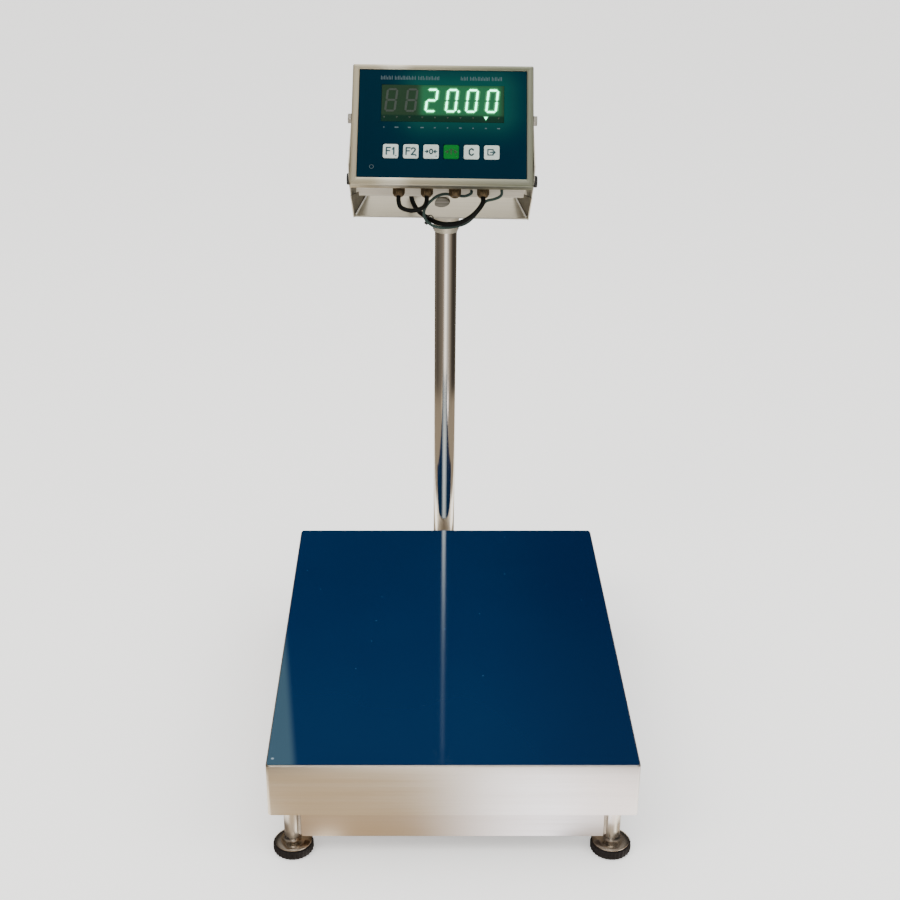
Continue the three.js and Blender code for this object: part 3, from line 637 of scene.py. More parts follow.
def leg_tube(corner):
    x, y, r, z0, z1 = upright_round("leg_tube_" + corner)
    profile = [
        [LEG_BORE, z1 - 1.2], [LEG_BORE, z0], [LEG_SLEEVE, z0 - 0.5], [LEG_SLEEVE, z0 - LEG_REACH],
        [r - 0.9, z0 - LEG_REACH], [r - 0.3, z0 - 3.3], [r, z0 - 2.7], [r, z0 + 20], [r, z1 - 0.8],
        [r - 0.8, z1],
    ]
    look(lathe(profile, 64, x, y), "leg_tube_" + corner, WORLD, STEEL_Z)
    inner = -1 if x > 0 else 1
    beads = [[
        Vector((x + inner * (9.7 + 0.1 * math.sin(k * 1.9)) * MM, y + side * 8.6 * MM,
                (30 + 35 * k / WELD_STEPS) * MM))
        for k in range(WELD_STEPS + 1)
    ] for side in (-1, 1)]
    bm = tubes(beads, 2.5 * MM, 12, lambda t: 0.28 * MM * math.sin(t * 88))
    finished(bm, "leg_weld_" + corner, WORLD, WELD, "base")


def foot_stem(corner):
    """The threaded stem: each point's radius follows its place in the thread's turn."""
    low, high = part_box("foot_stem_" + corner)
    x, y = (low.x + high.x) / 2, (low.y + high.y) / 2
    radius, sides = (high.x - low.x) / 2, 24
    rows = int((high.z - low.z) / (THREAD_PITCH / 6))
    rings = []
    for k in range(rows + 1):
        z = low.z + (high.z - low.z) * k / rows
        ease = min(1, k / 4, (rows - k) / 4)
        ring = []
        for i in range(sides):
            turn = i / sides
            depth = abs((z / THREAD_PITCH - turn) % 1 - 0.5) * 2
            r = radius - (0.15 + 0.85 * depth * ease) * MM
            angle = 2 * math.pi * turn
            ring.append(Vector((x + r * math.cos(angle), y + r * math.sin(angle), z)))
        rings.append(ring)
    look(loft(rings), "foot_stem_" + corner, WORLD, ZINC)


def foot(corner, x, y):
    _, _, r, z, _ = upright_round("foot_cap_" + corner)
    cap = [[r - 1.2, 0], [r + 0.8, 0.1], [r + 1.3, 0.5], [r + 1.2, 1.1], [r + 0.4, 1.7],
           [20.2, 2.5], [17.6, 3.1], [14.8, 3.3], [12.0, 3.3], [10.2, 3.6], [8.8, 4.3],
           [7.9, 5.2], [7.2, 6.0], [6.6, 6.1]]
    look(lathe(raised(cap, z), 72, x, y), "foot_cap_" + corner, WORLD, CAP_STEEL)

    def ribbed(angle, k):
        """Grooves in the ring's side, which is made by points 2 to 4 of its profile."""
        return -1.3 * MM * (0.5 - 0.5 * math.cos(angle * RUBBER_RIBS)) if k in (2, 3, 4) else 0

    _, _, r, _, top = upright_round("foot_rubber_" + corner)
    ring = [[r - 3.2, 0], [r - 2.2, 0.1], [r - 0.2, 1.4], [r, 3.0], [r, top - 2.4],
            [r - 0.9, top - 0.9], [r - 2.0, top - 0.1], [r - 4, top]]
    look(lathe(ring, RUBBER_RIBS * 6, x, y, ribbed), "foot_rubber_" + corner, WORLD, RUBBER)


def feet():
    for corner in CORNERS:
        leg_tube(corner)
        foot_stem(corner)
        foot(corner, *upright_round("leg_tube_" + corner)[:2])


# ---- Column ----

def column():
    x, y, r, z0, z1 = upright_round("column_tube")
    bore = r - 2
    profile = [
        [bore, z0], [r, z0], [r, z0 + 60], [r, 200], [r, 300], [r, 400], [r, 500], [r, z1 - 0.5],
        [r - 0.5, z1], [bore, z1], [bore, z1 - 60], [bore, 300],
    ]
    look(lathe(profile, 96, x, y, closed_loop=True), "column_tube", WORLD, POLISHED)
    points = [Vector((x, y, 0)) + p for p in circle(21.0 * MM, 62.6 * MM, 120)]
    weld = tubes([points + points[:1]], 1.8 * MM, 10, lambda t: 0.25 * MM * math.sin(t * 420))
    finished(weld, "socket_weld", WORLD, WELD, "base")
    middle = Vector((x, y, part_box("column_socket")[1].z - 14 * MM))
    screws = tubes(studs(middle, (0.5 * math.pi, 1.5 * math.pi), 17.2, 23.0), 3.2 * MM, 6)
    finished(screws, "socket_screws", WORLD, ZINC, "base", bevel=0.3 * MM)


# ---- Yoke ----

FLOOR_SLOPE = math.radians(26)
FLOOR_AT_AXIS = 654.2 * MM


def yoke():
    from_node("head_bracket", YOKE, STEEL_HEAD, 0.35)
    from_node("column_collar", YOKE, STEEL_HEAD, 0.3)
    low, high = span("column_collar", YOKE)
    axis = (low.x + high.x) / 2
    tilt = Matrix.Translation((0, 0, FLOOR_AT_AXIS)) @ Matrix.Rotation(FLOOR_SLOPE, 4, "X")
    # The column's cap, in steel darkened as painted shade.
    cap = lathe(raised([[14.4, -1.4], [14.6, -1.2], [14.6, 0], [12, 0.1]], -3.4), 48)
    finished(cap, "column_cap", YOKE @ tilt, STEEL_SHADED_INSIDE, "yoke")
    # Set screws that clamp the collar on the column.
    angles = math.radians(200), math.radians(-20)
    screws = tubes(studs(Vector((axis, 0, 617 * MM)), angles, 16.6, 19.2), 2.6 * MM, 12)
    finished(screws, "collar_screws", YOKE, ZINC, "yoke", bevel=0.25 * MM)
    # Painted highlights: thin tubes of near-white steel along the edges where the slanting plate in each corner
    # meets the floor.
    side_x = span("head_bracket", YOKE)[1].x
    highlight_lines = [[], []]
    for k in range(25):
        t = k / 24
        y = (-28 + 54 * t) * MM
        z = FLOOR_AT_AXIS + y * math.tan(FLOOR_SLOPE) + 0.9 * MM
        for side, seam in zip((-1, 1), highlight_lines):
            seam.append(Vector((side * (side_x - (4.2 + 20.2 * t) * MM), y, z)))
    bm = tubes(highlight_lines, 1.1 * MM, 8, lambda t: 0.12 * MM * math.sin(t * 150))
    finished(bm, "bracket_edge_highlights", YOKE, EDGE_HIGHLIGHT, "yoke")


# ---- Indicator ----

PANEL_LOW, PANEL_HIGH = span("front_panel", FACE)
WINDOW_LOW, WINDOW_HIGH = span("display_window", FACE)
WINDOW_X = (WINDOW_LOW.x + WINDOW_HIGH.x) / 2
DIGIT_WIDTH = 15.6 * MM
DIGIT_HEIGHT = 35 * MM
DIGIT_STROKE = 3.0 * MM
DIGIT_PITCH = 27.2 * MM
DIGIT_FIRST = WINDOW_X - 79 * MM
DIGIT_BOTTOM = WINDOW_LOW.z + 14.2 * MM
DIGIT_SLANT = 0.10
LIT_LIFT, HALO_LIFT, OUTER_LIFT = 0.10, 0.07, 0.04  # how far each layer stands out, in millimetres
MARKS, MARK_LIT = 10, 8
MARK_FIRST, MARK_PITCH = -78.5 * MM, 17.1 * MM
LIT = ["", "", "2", "0", "0", "0"]
SEGMENTS = {"": "", "2": "abged", "0": "abcdef"}


def glow(n, reach, strength, colour, mask=1.0):
    """Light that the lit digits throw on a surface round them, by distance from their block."""
    x, _, z = n.axes()
    x0 = DIGIT_FIRST + 2 * DIGIT_PITCH
    x1 = DIGIT_FIRST + 5 * DIGIT_PITCH + DIGIT_WIDTH
    z0, z1 = DIGIT_BOTTOM, DIGIT_BOTTOM + DIGIT_HEIGHT

    def outside(value, low, high):
        off = n.size(n.minus(value, (low + high) / 2))
        return n.math("MAXIMUM", n.minus(off, (high - low) / 2), 0.0)

    squared = n.squares(outside(x, x0, x1), outside(z, z0, z1))
    fade = n.math("EXPONENT", n.times(squared, -1 / reach ** 2))
    n.set(Emission_Color=colour, Emission_Strength=n.times(n.times(fade, strength), mask))


def overlay_material():
    n = Nodes("navy_overlay")
    fine = n.noise(1600, 3.0)
    cloud = n.noise(16, 2.0)
    tone = n.mixed(cloud, (0.0, 0.0052, 0.0150), (0.0, 0.0070, 0.0190))
    n.bump(fine, 0.08, 0.1 * MM)
    glow(n, 30 * MM, 0.30, (0.0, 0.22, 0.10))
    return n.set(
        Base_Color=tone, Roughness=n.spread(fine, 0.3, 0.7, 0.40, 0.50), Specular_IOR_Level=0.16,
        Specular_Tint=(0.08, 0.7, 0.75),
    )


def window_material():
    """Tinted glass, darker in the row of marks under the digits."""
    n = Nodes("tinted_window")
    z = n.axes()[2]
    band = n.spread(z, WINDOW_LOW.z + 8 * MM, WINDOW_LOW.z + 11 * MM, 1, 0, True)
    tone = n.mixed(band, (0.0095, 0.019, 0.009), (0.001, 0.009, 0.0055))
    smear = n.noise(30, 3.0)
    tone = n.mixed(n.times(smear, 0.2), tone, (0.02, 0.03, 0.02))
    above = n.minus(1.0, n.times(band, 0.8))
    glow(n, 7 * MM, 0.5, (0.0, 0.24, 0.09), above)
    return n.set(
        Base_Color=tone, Roughness=n.spread(smear, 0.3, 0.7, 0.12, 0.2), Specular_IOR_Level=0.22,
        Specular_Tint=(0.25, 0.9, 0.65),
    )


def lamp(name, colour, strength, core=None):
    """An LED segment: its light is even, with slightly brighter spots along it."""
    n = Nodes(name)
    spots = n.noise(420, 1.0)
    tone = n.mixed(n.spread(spots, 0.35, 0.65, 0, 1), colour, core or colour)
    return n.set(
        Base_Color=(0.02, 0.05, 0.02), Roughness=0.4, Emission_Color=tone,
        Emission_Strength=strength,
    )


SEGMENT_ON = lamp("segment_lit", (0.10, 1.0, 0.50), 8.0, (0.30, 1.0, 0.65))
SEGMENT_HALO = lamp("segment_halo", (0.0, 1.0, 0.30), 0.75)
SEGMENT_OUTER = lamp("segment_outer", (0.0, 1.0, 0.30), 0.22)
SEGMENT_OFF = plain("segment_unlit", (0.014, 0.025, 0.0185), 0.35, 0.0, 900, 0.05)


def digit_outlines(grow=0.0):
    """Outlines of the seven segments of one digit from its lower left corner, as (x, z) lists."""
    w, h, t = DIGIT_WIDTH, DIGIT_HEIGHT, DIGIT_STROKE
    gap = 0.35 * MM - grow
    half = t / 2 + grow

    def bar(start, end, across):
        """A bar with pointed ends from start to end, at across on the other axis."""
        start, end = start + gap, end - gap
        return [(start, across), (start + half, across - half), (end - half, across - half),
                (end, across), (end - half, across + half), (start + half, across + half)]

    def level(z):
        return bar(t / 2, w - t / 2, z)

    def upright(x, z0, z1):
        points = [(px, pz) for pz, px in bar(z0, z1, x)]
        return points[:1] + points[:0:-1]

    low, mid, top = t / 2, h / 2, h - t / 2
    return {
        "a": level(top), "g": level(mid), "d": level(low),
        "f": upright(t / 2, mid, top), "b": upright(w - t / 2, mid, top),
        "e": upright(t / 2, low, mid), "c": upright(w - t / 2, low, mid),
    }


def slanted(outline, index):
    x0 = DIGIT_FIRST + index * DIGIT_PITCH
    return [(x0 + x + z * DIGIT_SLANT, DIGIT_BOTTOM + z) for x, z in outline]


def display():
    """The window with its digits: lit segments, two fainter layers round them, unlit segments."""
    front = WINDOW_LOW.y
    from_node("display_window", FACE, window_material(), 0.3)
    lit, halo, outer, unlit = bmesh.new(), bmesh.new(), bmesh.new(), bmesh.new()

    def raise_plate(outline, lift, bm):
        slab(outline, front - lift * MM, front + 0.2 * MM, bm)

    for index, shown in enumerate(LIT):
        for name, outline in digit_outlines(-0.3 * MM if shown else 0).items():
            on = name in SEGMENTS[shown]
            if on or not shown:
                raise_plate(slanted(outline, index), LIT_LIFT, lit if on else unlit)
        for grow, lift, bm in ((0.8, HALO_LIFT, halo), (2.2, OUTER_LIFT, outer)):
            for name, outline in digit_outlines(grow * MM).items():
                if name in SEGMENTS[shown]:
                    raise_plate(slanted(outline, index), lift, bm)
    # The decimal point after the fourth digit, and the marks in the row under the digits.
    dot_x = DIGIT_FIRST + 3 * DIGIT_PITCH + DIGIT_WIDTH + 3.6 * MM
    dot_z = DIGIT_BOTTOM + 1.6 * MM
    layers = (LIT_LIFT, lit), (HALO_LIFT, halo), (OUTER_LIFT, outer)
    for radius, (lift, bm) in zip((1.5, 2.3, 3.4), layers):
        raise_plate([(x, z) for x, z, _ in circle(radius * MM, 0, 16, dot_x, dot_z)], lift, bm)
    row = WINDOW_LOW.z + 6.2 * MM
    for k in range(MARKS):
        x = MARK_FIRST + k * MARK_PITCH
        is_lit = k == MARK_LIT
        for size, (lift, bm) in zip((2.3, 3.2, 4.3) if is_lit else (1.5,),
                                    layers if is_lit else [(0.08, unlit)]):
            size *= MM
            top = row + size * 0.8
            raise_plate([(x - size, top), (x, row - size), (x + size, top)], lift, bm)
    for bm, name, material in (
        (lit, "digits_lit", SEGMENT_ON), (halo, "digits_halo", SEGMENT_HALO),
        (outer, "digits_outer_halo", SEGMENT_OUTER), (unlit, "digits_unlit", SEGMENT_OFF),
    ):
        finished(bm, name, FACE, material, "indicator")


def dash(x0, x1, z0, z1):
    return [(x0, z0), (x1, z0), (x1, z1), (x0, z1)]


def header_ticks(bm, x, x1, z, y0, y1, rhythm):
    """A row of upright ticks, in groups, that stands in for a line of printing."""
    k = 0
    while x < x1:
        height = rhythm[k % len(rhythm)] * MM
        if height:
            slab(dash(x, x + 0.8 * MM, z, z + height), y0, y1, bm)
        x += 2.1 * MM
        k += 1


def prints():
    y0, y1 = PANEL_LOW.y - 0.05 * MM, PANEL_LOW.y + 0.1 * MM
    bm = bmesh.new()
    top = WINDOW_HIGH.z + 7.6 * MM
    rhythm = [5.8, 4.4, 5.8, 5.8, 3.6, 5.8, 4.6, 5.8, 0, 5.8, 4.2, 5.8, 5.8, 3.4, 5.8]
    header_ticks(bm, WINDOW_X - 84 * MM, WINDOW_X - 6 * MM, top, y0, y1, rhythm)
    header_ticks(bm, WINDOW_X + 24 * MM, WINDOW_X + 80 * MM, top, y0, y1, rhythm[3:] + [5.8, 4])
    below = WINDOW_LOW.z - 9.5 * MM
    for k, half in enumerate((0.8, 2.6, 1.8, 2.1, 1.2, 0.9, 1.8, 0.9, 1.3, 2.0)):
        x = MARK_FIRST + k * MARK_PITCH
        slab(dash(x - half * MM, x + half * MM, below, below + 1.6 * MM), y0, y1, bm)
    ring = [(x, z) for x, z, _ in circle(2.7 * MM, 0, 20, -93.5 * MM, -62 * MM)]
    stroke(ring, 0.9 * MM, y0, y1, bm, closed=True)
    finished(bm, "panel_prints", FACE, PRINT, "indicator")


GLYPHS = {
    "F": [[(0, 0), (0, 10), (6, 10)], [(0, 5.4), (5, 5.4)]],
    "1": [[(0.4, 7.6), (2.6, 10), (2.6, 0)]],
    "2": [[(0, 8), (1, 9.6), (3, 10), (5, 9.3), (5.6, 7.6), (5, 5.8), (0, 0), (6, 0)]],
    "C": [[(6.4, 8), (5, 9.6), (3.2, 10), (1.2, 9), (0, 6.8), (0, 3.2), (1.2, 1), (3.2, 0),
           (5, 0.4), (6.4, 2)]],
    "0": [[(0, 3.4), (0, 6.6), (1.2, 8.4), (3.2, 8.4), (4.4, 6.6), (4.4, 3.4), (3.2, 1.6),
           (1.2, 1.6), (0, 3.4)]],
    "T": [[(-0.6, 8.4), (4.6, 8.4)], [(2, 8.4), (2, 1.4)]],
    ">": [[(0, 5), (4.4, 5)], [(2.6, 6.9), (4.4, 5), (2.6, 3.1)]],
    "<": [[(4.4, 5), (0, 5)], [(1.8, 6.9), (0, 5), (1.8, 3.1)]],
    "box": [[(5, 9.4), (0, 9.4), (0, 0.6), (5, 0.6)], [(8.6, 9.4), (5, 9.4)],
            [(8.6, 0.6), (5, 0.6)], [(8.6, 9.4), (8.6, 7.2)], [(8.6, 0.6), (8.6, 2.8)],
            [(4.2, 5), (12, 5)], [(10, 6.9), (12, 5), (10, 3.1)]],
}
LEGENDS = {
    "f1": (0.98, 2.0, [("F", -5.8), ("1", 2.0)]),
    "f2": (0.98, 2.0, [("F", -6.4), ("2", 0.9)]),
    "zero": (0.95, 1.7, [(">", -8.2), ("0", -1.9), ("<", 4.2)]),
    "tare": (0.95, 1.7, [(">", -8.2), ("T", -1.9), ("<", 4.2)]),
    "clear": (0.94, 2.1, [("C", -3.2)]),
    "print": (0.90, 1.7, [("box", -5.8)]),
}


# Inset, depth and corner radius of each ring of a key, from the middle of its dish outwards.
KEY_PROFILE = ((3.4, 0.12, 1.4), (0.9, 0.02, 2.2), (0.35, 0.10, 2.6), (0.08, 0.35, 2.8),
               (0, 0.7, 2.9), (0, 1.8, 2.9))


def keys():
    for name in KEYS:
        node = "key_" + name
        low, high = span(node, FACE)
        x, z = (low.x + high.x) / 2, (low.z + high.z) / 2
        size = high.x - low.x
        material = KEY_GREEN if name == "tare" else KEY_GREY
        bm = bmesh.new()
        rings = []
        for inset, y, radius in KEY_PROFILE:
            side = size - 2 * inset * MM
            rings.append(face_ring(side, side, radius * MM, x, z, low.y + y * MM))
        loft(rings, bm=bm)
        slab(rounded_outline(6 * MM, 6 * MM, 1 * MM, x, z), low.y + 1.8 * MM, high.y, bm)
        look(bm, node, FACE, material)
        scale, width, glyphs = LEGENDS[name]
        bm = bmesh.new()
        y0, y1 = low.y - 0.03 * MM, low.y + 0.3 * MM
        for glyph, offset in glyphs:
            for line in GLYPHS[glyph]:
                points = [(x + (offset + px * 0.9) * scale * MM, z + (pz - 5) * scale * MM)
                          for px, pz in line]
                stroke(points, width * MM, y0, y1, bm)
        if name not in ("clear", "print"):
            mark = [(x + 6.4 * MM, z - 6.6 * MM), (x + 7.6 * MM, z - 6.6 * MM)]
            stroke(mark, 1.2 * MM, y0, y1, bm)
        ink = KEY_INK_LIGHT if name == "tare" else KEY_INK
        finished(bm, node + "_legend", FACE, ink, BODY_OF[node])


def bezel_material(half_width, middle_z, half_height):
    """Brushed steel whose grain turns the corner at each mitre, with painted shade darkening it towards the right
    and a painted highlight on its top and bottom rails left of the middle.
    """
    n = Nodes("bezel_steel")
    x, _, z = n.axes()
    past_side = n.minus(n.size(x), half_width)
    past_top = n.minus(n.size(n.minus(z, middle_z)), half_height)
    difference = n.minus(past_side, past_top)
    upright = n.math("GREATER_THAN", difference, 0.0)
    level = n.minus(1.0, upright)
    hair, band = (
        n.plus(n.times(upright, n.noise((fine, fine, coarse), detail)),
               n.times(level, n.noise((coarse, fine, fine), detail)))
        for fine, coarse, detail in ((1400, 14, 2.0), (260, 3, 3.0))
    )
    seam = n.spread(n.size(difference), 0.0, 0.35 * MM, 1, 0)
    # Painted shade: light and warm at the left, darker and greener towards the right.
    base = n.mixed(n.spread(x, -0.10, 0.12, 0, 1, True), (0.56, 0.50, 0.35),
                   (0.21, 0.235, 0.165))
    # Painted highlight: a brighter band across the top and bottom rails, left of the middle.
    painted_highlight = n.spread(n.size(n.plus(x, 66 * MM)), 4 * MM, 30 * MM, 0.75, 0, True)
    base = n.mixed(n.times(level, painted_highlight), base, (0.98, 0.95, 0.80))
    tone = n.mixed(n.spread(hair, 0.3, 0.7, 0, 0.12), base, HAIRLINE)
    tone = n.mixed(n.spread(band, 0.35, 0.7, 0, 0.25), tone, (0.85, 0.82, 0.74))
    tone = n.mixed(n.times(seam, 0.6), tone, (0.12, 0.10, 0.08))
    n.bump(n.minus(n.times(hair, 0.6), seam), 0.12)
    return n.set(
        Base_Color=tone, Metallic=1.0, Roughness=n.spread(band, 0.3, 0.7, 0.28, 0.42),
        Anisotropic=0.3,
    )


def bezel():
    low, high = span("front_bezel", FACE)
    x, z = (low.x + high.x) / 2, (low.z + high.z) / 2
    width, height, depth = high.x - low.x, high.z - low.z, (high.y - low.y) / MM
    px, pz = (PANEL_LOW.x + PANEL_HIGH.x) / 2, (PANEL_LOW.z + PANEL_HIGH.z) / 2
    inner_w = PANEL_HIGH.x - PANEL_LOW.x + 0.6 * MM
    inner_h = PANEL_HIGH.z - PANEL_LOW.z + 0.6 * MM

    def ring(w, h, x, z, more, y, radius):
        more *= MM
        return face_ring(w + 2 * more, h + 2 * more, radius * MM, x, z, low.y + y * MM)

    rings = [
        ring(width, height, x, z, *more) for more in (
            (0, depth, 2.2), (0, 1.4, 2.2), (-0.2, 0.6, 2.1), (-0.6, 0.15, 1.9), (-1.3, 0, 1.6))
    ] + [
        ring(inner_w, inner_h, px, pz, *more) for more in (
            (0.5, 0, 0.9), (0.15, 0.12, 0.8), (0, 0.5, 0.7), (0, depth, 0.7))
    ]
    look(loft(rings, True), "front_bezel", FACE, bezel_material(width / 2, z, height / 2))


def knob(side):
    node = "lock_knob_" + ("left" if side < 0 else "right")
    low, high = span(node, FACE)
    y, z = (low.y + high.y) / 2, (low.z + high.z) / 2
    # Both knobs are trimmed against the CAD, the left one more.
    outer_x = high.x - 1.6 * MM if side > 0 else -low.x - 3.0 * MM
    head = outer_x - (5.1 if side > 0 else 3.8) * MM
    place = FACE @ Matrix.Translation((0, y, z)) @ Matrix.Rotation(side * math.pi / 2, 4, "Y")
    stem_start = min(abs(low.x), abs(high.x)) / MM

    def fluted(angle, k):
        return -0.7 * MM * (0.5 - 0.5 * math.cos(angle * 14)) if k in (5, 6, 7) else 0

    h, o = head / MM, outer_x / MM
    profile = [
        [2.0, stem_start], [2.6, stem_start + 0.6], [2.6, h - 0.2], [6.6, h], [7.2, h + 0.4],
        [8, h + 1.2], [8, (h + o) / 2], [8, o - 1.2], [7.2, o - 0.3], [6.2, o], [4.4, o],
        [4.0, o - 0.5],
    ]
    look(lathe(profile, 112, 0, 0, fluted), node, place, BLACK_PLASTIC)


def gland(index):
    node = f"cable_gland_{index}"
    low, high = span(node, FACE)
    x, y = (low.x + high.x) / 2, (low.y + high.y) / 2
    length = (high.z - low.z) / MM

    def ribs(angle, k):
        """Ribs round the nut, and the hexagon above it."""
        if k in (3, 4, 5, 6):
            return -0.9 * MM * (0.5 - 0.5 * math.cos(angle * 15))
        if k in (9, 10):
            turn = (angle % (math.pi / 3)) - math.pi / 6
            return (8.0 / math.cos(turn) - 9.2) * MM
        return 0

    profile = [
        [3.6, 0.6], [4.6, 0], [6.2, 1.0], [7.8, 3.4], [8.4, 4.6], [8.4, 8.0], [8.4, 11.2],
        [6.6, 11.6], [6.6, 12.4], [9.2, 12.6], [9.2, length - 0.3], [8.0, length],
    ]
    look(lathe(raised(profile, low.z / MM), 108, x, y, ribs), node, FACE, BRASS)


def shell():
    from_node("rear_shell", FACE, STEEL_SHELL_SHADED, 1.0, 3)
    high = span("rear_shell", FACE)[1]
    # Domed screw heads on the shell's back, in a frame whose z axis points backwards.
    back = FACE @ Matrix.Translation((0, high.y, 0)) @ Matrix.Rotation(-math.pi / 2, 4, "X")
    head = [[3.2, 0], [3.2, 0.35], [2.88, 0.75], [1.76, 1.15], [0.64, 1.25]]
    bm = bmesh.new()
    for side in (-1, 1):
        for z in (-58, 68):
            lathe(head, 24, side * 98 * MM, -z * MM, bm=bm)
    finished(bm, "shell_screws", back, ZINC, "indicator")
    bm = bmesh.new()
    for k in range(7):
        outline = rounded_outline(34 * MM, 2.2 * MM, 1.1 * MM, 0, (k * 5 - 4) * MM)
        loft([[Vector((x, -y, 0.05 * MM)) for x, y in outline],
              [Vector((x, -y, 0.12 * MM)) for x, y in outline]], bm=bm)
    finished(bm, "shell_vents", back, BLACK_PLASTIC, "indicator")


def indicator():
    bezel()
    from_node("front_panel", FACE, overlay_material(), 0.15)
    from_node("bezel_gasket", FACE, RUBBER, 0.3)
    from_node("display_board", FACE, BOARD, 0.2)
    from_node("main_board", FACE, BOARD, 0.3)
    display()
    prints()
    keys()
    shell()
    for side in (-1, 1):
        knob(side)
        name = "left" if side < 0 else "right"
        from_node("pivot_bolt_" + name, FACE, ZINC, 0.5)
    for index in range(1, 5):
        gland(index)


# ---- Cables ----

PATH_STEPS = 7  # points of a cable's path for each point of its route
CABLE_SIDES = 20


def face_point(x, depth, rise):
    """A point of the face's frame in the yoke's frame, in millimetres."""
    point = YOKE.inverted() @ (FACE @ Vector((x * MM, depth * MM, rise * MM)))
    return tuple(v / MM for v in point)


def gland_mouth(index, drop=0.3125):
    low, high = span(f"cable_gland_{index}", FACE)
    return face_point((low.x + high.x) / 2 / MM, (low.y + high.y) / 2 / MM, low.z / MM - drop)


def shell_outlet(x, depth, drop=0.625):
    return face_point(x, depth, span("rear_shell", FACE)[0].z / MM - drop)


def cable(node, route, radius, material, place=YOKE, body=None, blended=None):
    """A cable along a route in millimetres of a local frame; only one that isn't blended goes on its body."""
    path = smooth_path([place @ (Vector(p) * MM) for p in route], PATH_STEPS)
    obj = finished(tubes([path], radius * MM, CABLE_SIDES), node + "_look", WORLD, material,
                   None if blended else body, [node])
    if blended:
        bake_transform(obj)
    return path


def tie(name, path, index, radius, body):
    """A cable tie: a flat band round the bundle with its small square lock."""
    along = (path[index + 1] - path[index - 1]).normalized()
    side = along.orthogonal().normalized()
    place = placed(path[index], side, along.cross(side), along)
    bm = lathe([[radius, -1.2], [radius + 0.9, -1.2], [radius + 1.1, 0], [radius + 0.9, 1.2],
                [radius, 1.2]], 40, closed_loop=True)
    lock = rounded_outline(4.2 * MM, 3.6 * MM, 0.6 * MM, (radius + 1.6) * MM, 0, 3)
    loft([[Vector((x, y, z * MM)) for x, y in lock] for z in (-2.1, -1.9, 1.9, 2.1)], bm=bm)
    finished(bm, name, place, BLACK_PLASTIC, body)


def cables():
    top_x = (YOKE.inverted() @ lean_point).x / MM
    main = [
        (top_x, 0, 600.6), (top_x, 0, 622), (top_x, 3, 638), (top_x, 11, 648),
        (top_x - 1, 22, 651.5), (top_x - 4, 31, 656), (top_x - 10, 34, 667), (-15, 32, 678),
        (-27, 26, 682), (-38, 16, 678), (-43, 3, 671.5), (-43, -12, 667), (-41, -30, 663.5),
        (-38, -47, 661.5), (-34, -64, 660.5), (-29, -80, 660), (-22, -96, 659.5),
        (-14, -110, 658.5), (-4, -121, 657.5), (7, -127, 657.5), (19, -130, 659),
        (31, -131.5, 663.5), (41, -132, 670), (50, -131.5, 679), gland_mouth(4, 7), gland_mouth(4),
    ]
    start = YOKE @ Vector((0, 10 * MM, 0.66))
    end = YOKE @ Vector((0, -95 * MM, 0.66))
    path = cable("indicator_cable", main, 3.25, CABLE_BLACK,
                 blended=("yoke", "indicator", start, end))
    jumper = [
        gland_mouth(1), gland_mouth(1, 6), (-54.8, -131, 682), (-47.8, -134, 679),
        (-38.8, -135, 678), (-29.8, -134, 679.5), (-22.6, -131, 683), gland_mouth(2, 6),
        gland_mouth(2),
    ]
    cable("jumper_cable", jumper, 3.0, CABLE_BLACK, body="indicator")
    sensor = [
        shell_outlet(41, 53), shell_outlet(41, 53, 4), (33, -100, 689.5), (18.5, -100, 690.5),
        (7, -104, 693), (-3, -109, 692.5), (-11, -112, 688), (-19, -113.5, 680),
        (-23, -114.5, 671), (-21.5, -116, 662), (-14, -118.8, 654.6), (-5, -122.5, 652),
        (7, -125, 652), (20, -125.5, 654), (33, -125, 658), (42, -123.5, 664.5),
        (49.5, -119, 672.5), (55, -112, 680), (62, -108.5, 685.5), (72, -108, 688),
        (79, -108, 691), (82, -109, 695), shell_outlet(82, 44, 4), shell_outlet(82, 44),
    ]
    cable("sensor_cable", sensor, 2.0, CABLE_GREY, body="indicator")
    # The load cell's cable, from the cell under the pan to the inside of the column.
    cell_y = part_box("load_cell")[1].y / MM
    pan_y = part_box("load_pan")[1].y / MM
    x, y = swivel.x / MM, swivel.y / MM
    cell = [(0, cell_y + off, z) for off, z in (
        (0.3125, 80), (16.3, 79), (40.3, 71), (70.3, 58), (105.3, 48), (150.3, 45))]
    cell += [(0, pan_y - 20, 45), (-0.5, pan_y + 5, 45), (-2, y - 16, 47), (x, y - 5, 54)]
    cell += [(x, y, z) for z in (68, 100, 240, 380, 520, 600)]
    cable("cell_cable", cell, 3.25, CABLE_BLACK, WORLD, "base")
    return path


# ---- Floor and light ----

LEFT_TONE, RIGHT_TONE = (0.86, 0.655, 0.42), (3.3, 3.2, 3.35)
FAR_RIGHT_TONE, NEAR_TONE = (2.9, 2.5, 2.3), (0.36, 0.29, 0.21)
EDGE_TONE = (3.2, 3.0, 2.7)
LEG_TONE, LEG_SHADE, LEG_STRIPE = (0.72, 0.58, 0.44), (0.16, 0.12, 0.09), (2.6, 2.4, 2.1)
# Brightness of what the round column shows, by direction from it in degrees: 0 is to the front.
COLUMN_SHOWS = (
    (-126, 0.16), (-92, 0.09), (-65, 0.14), (-36, 0.20), (-17, 0.40), (-5, 1.8), (5, 1.9),
    (20, 0.80), (44, 0.36), (70, 0.09), (100, 0.035), (126, 0.10),
)
RAMP_HALF = 2.2  # radians to each side that the ramp of COLUMN_SHOWS takes up


def around(n, x, y, middle):
    """Direction from an upright axis, 0 to the front and positive to the right, and distance."""
    off_x, off_y = n.minus(x, middle.x), n.minus(middle.y, y)
    return n.math("ARCTAN2", off_x, off_y), n.math("POWER", n.squares(off_x, off_y), 0.5)


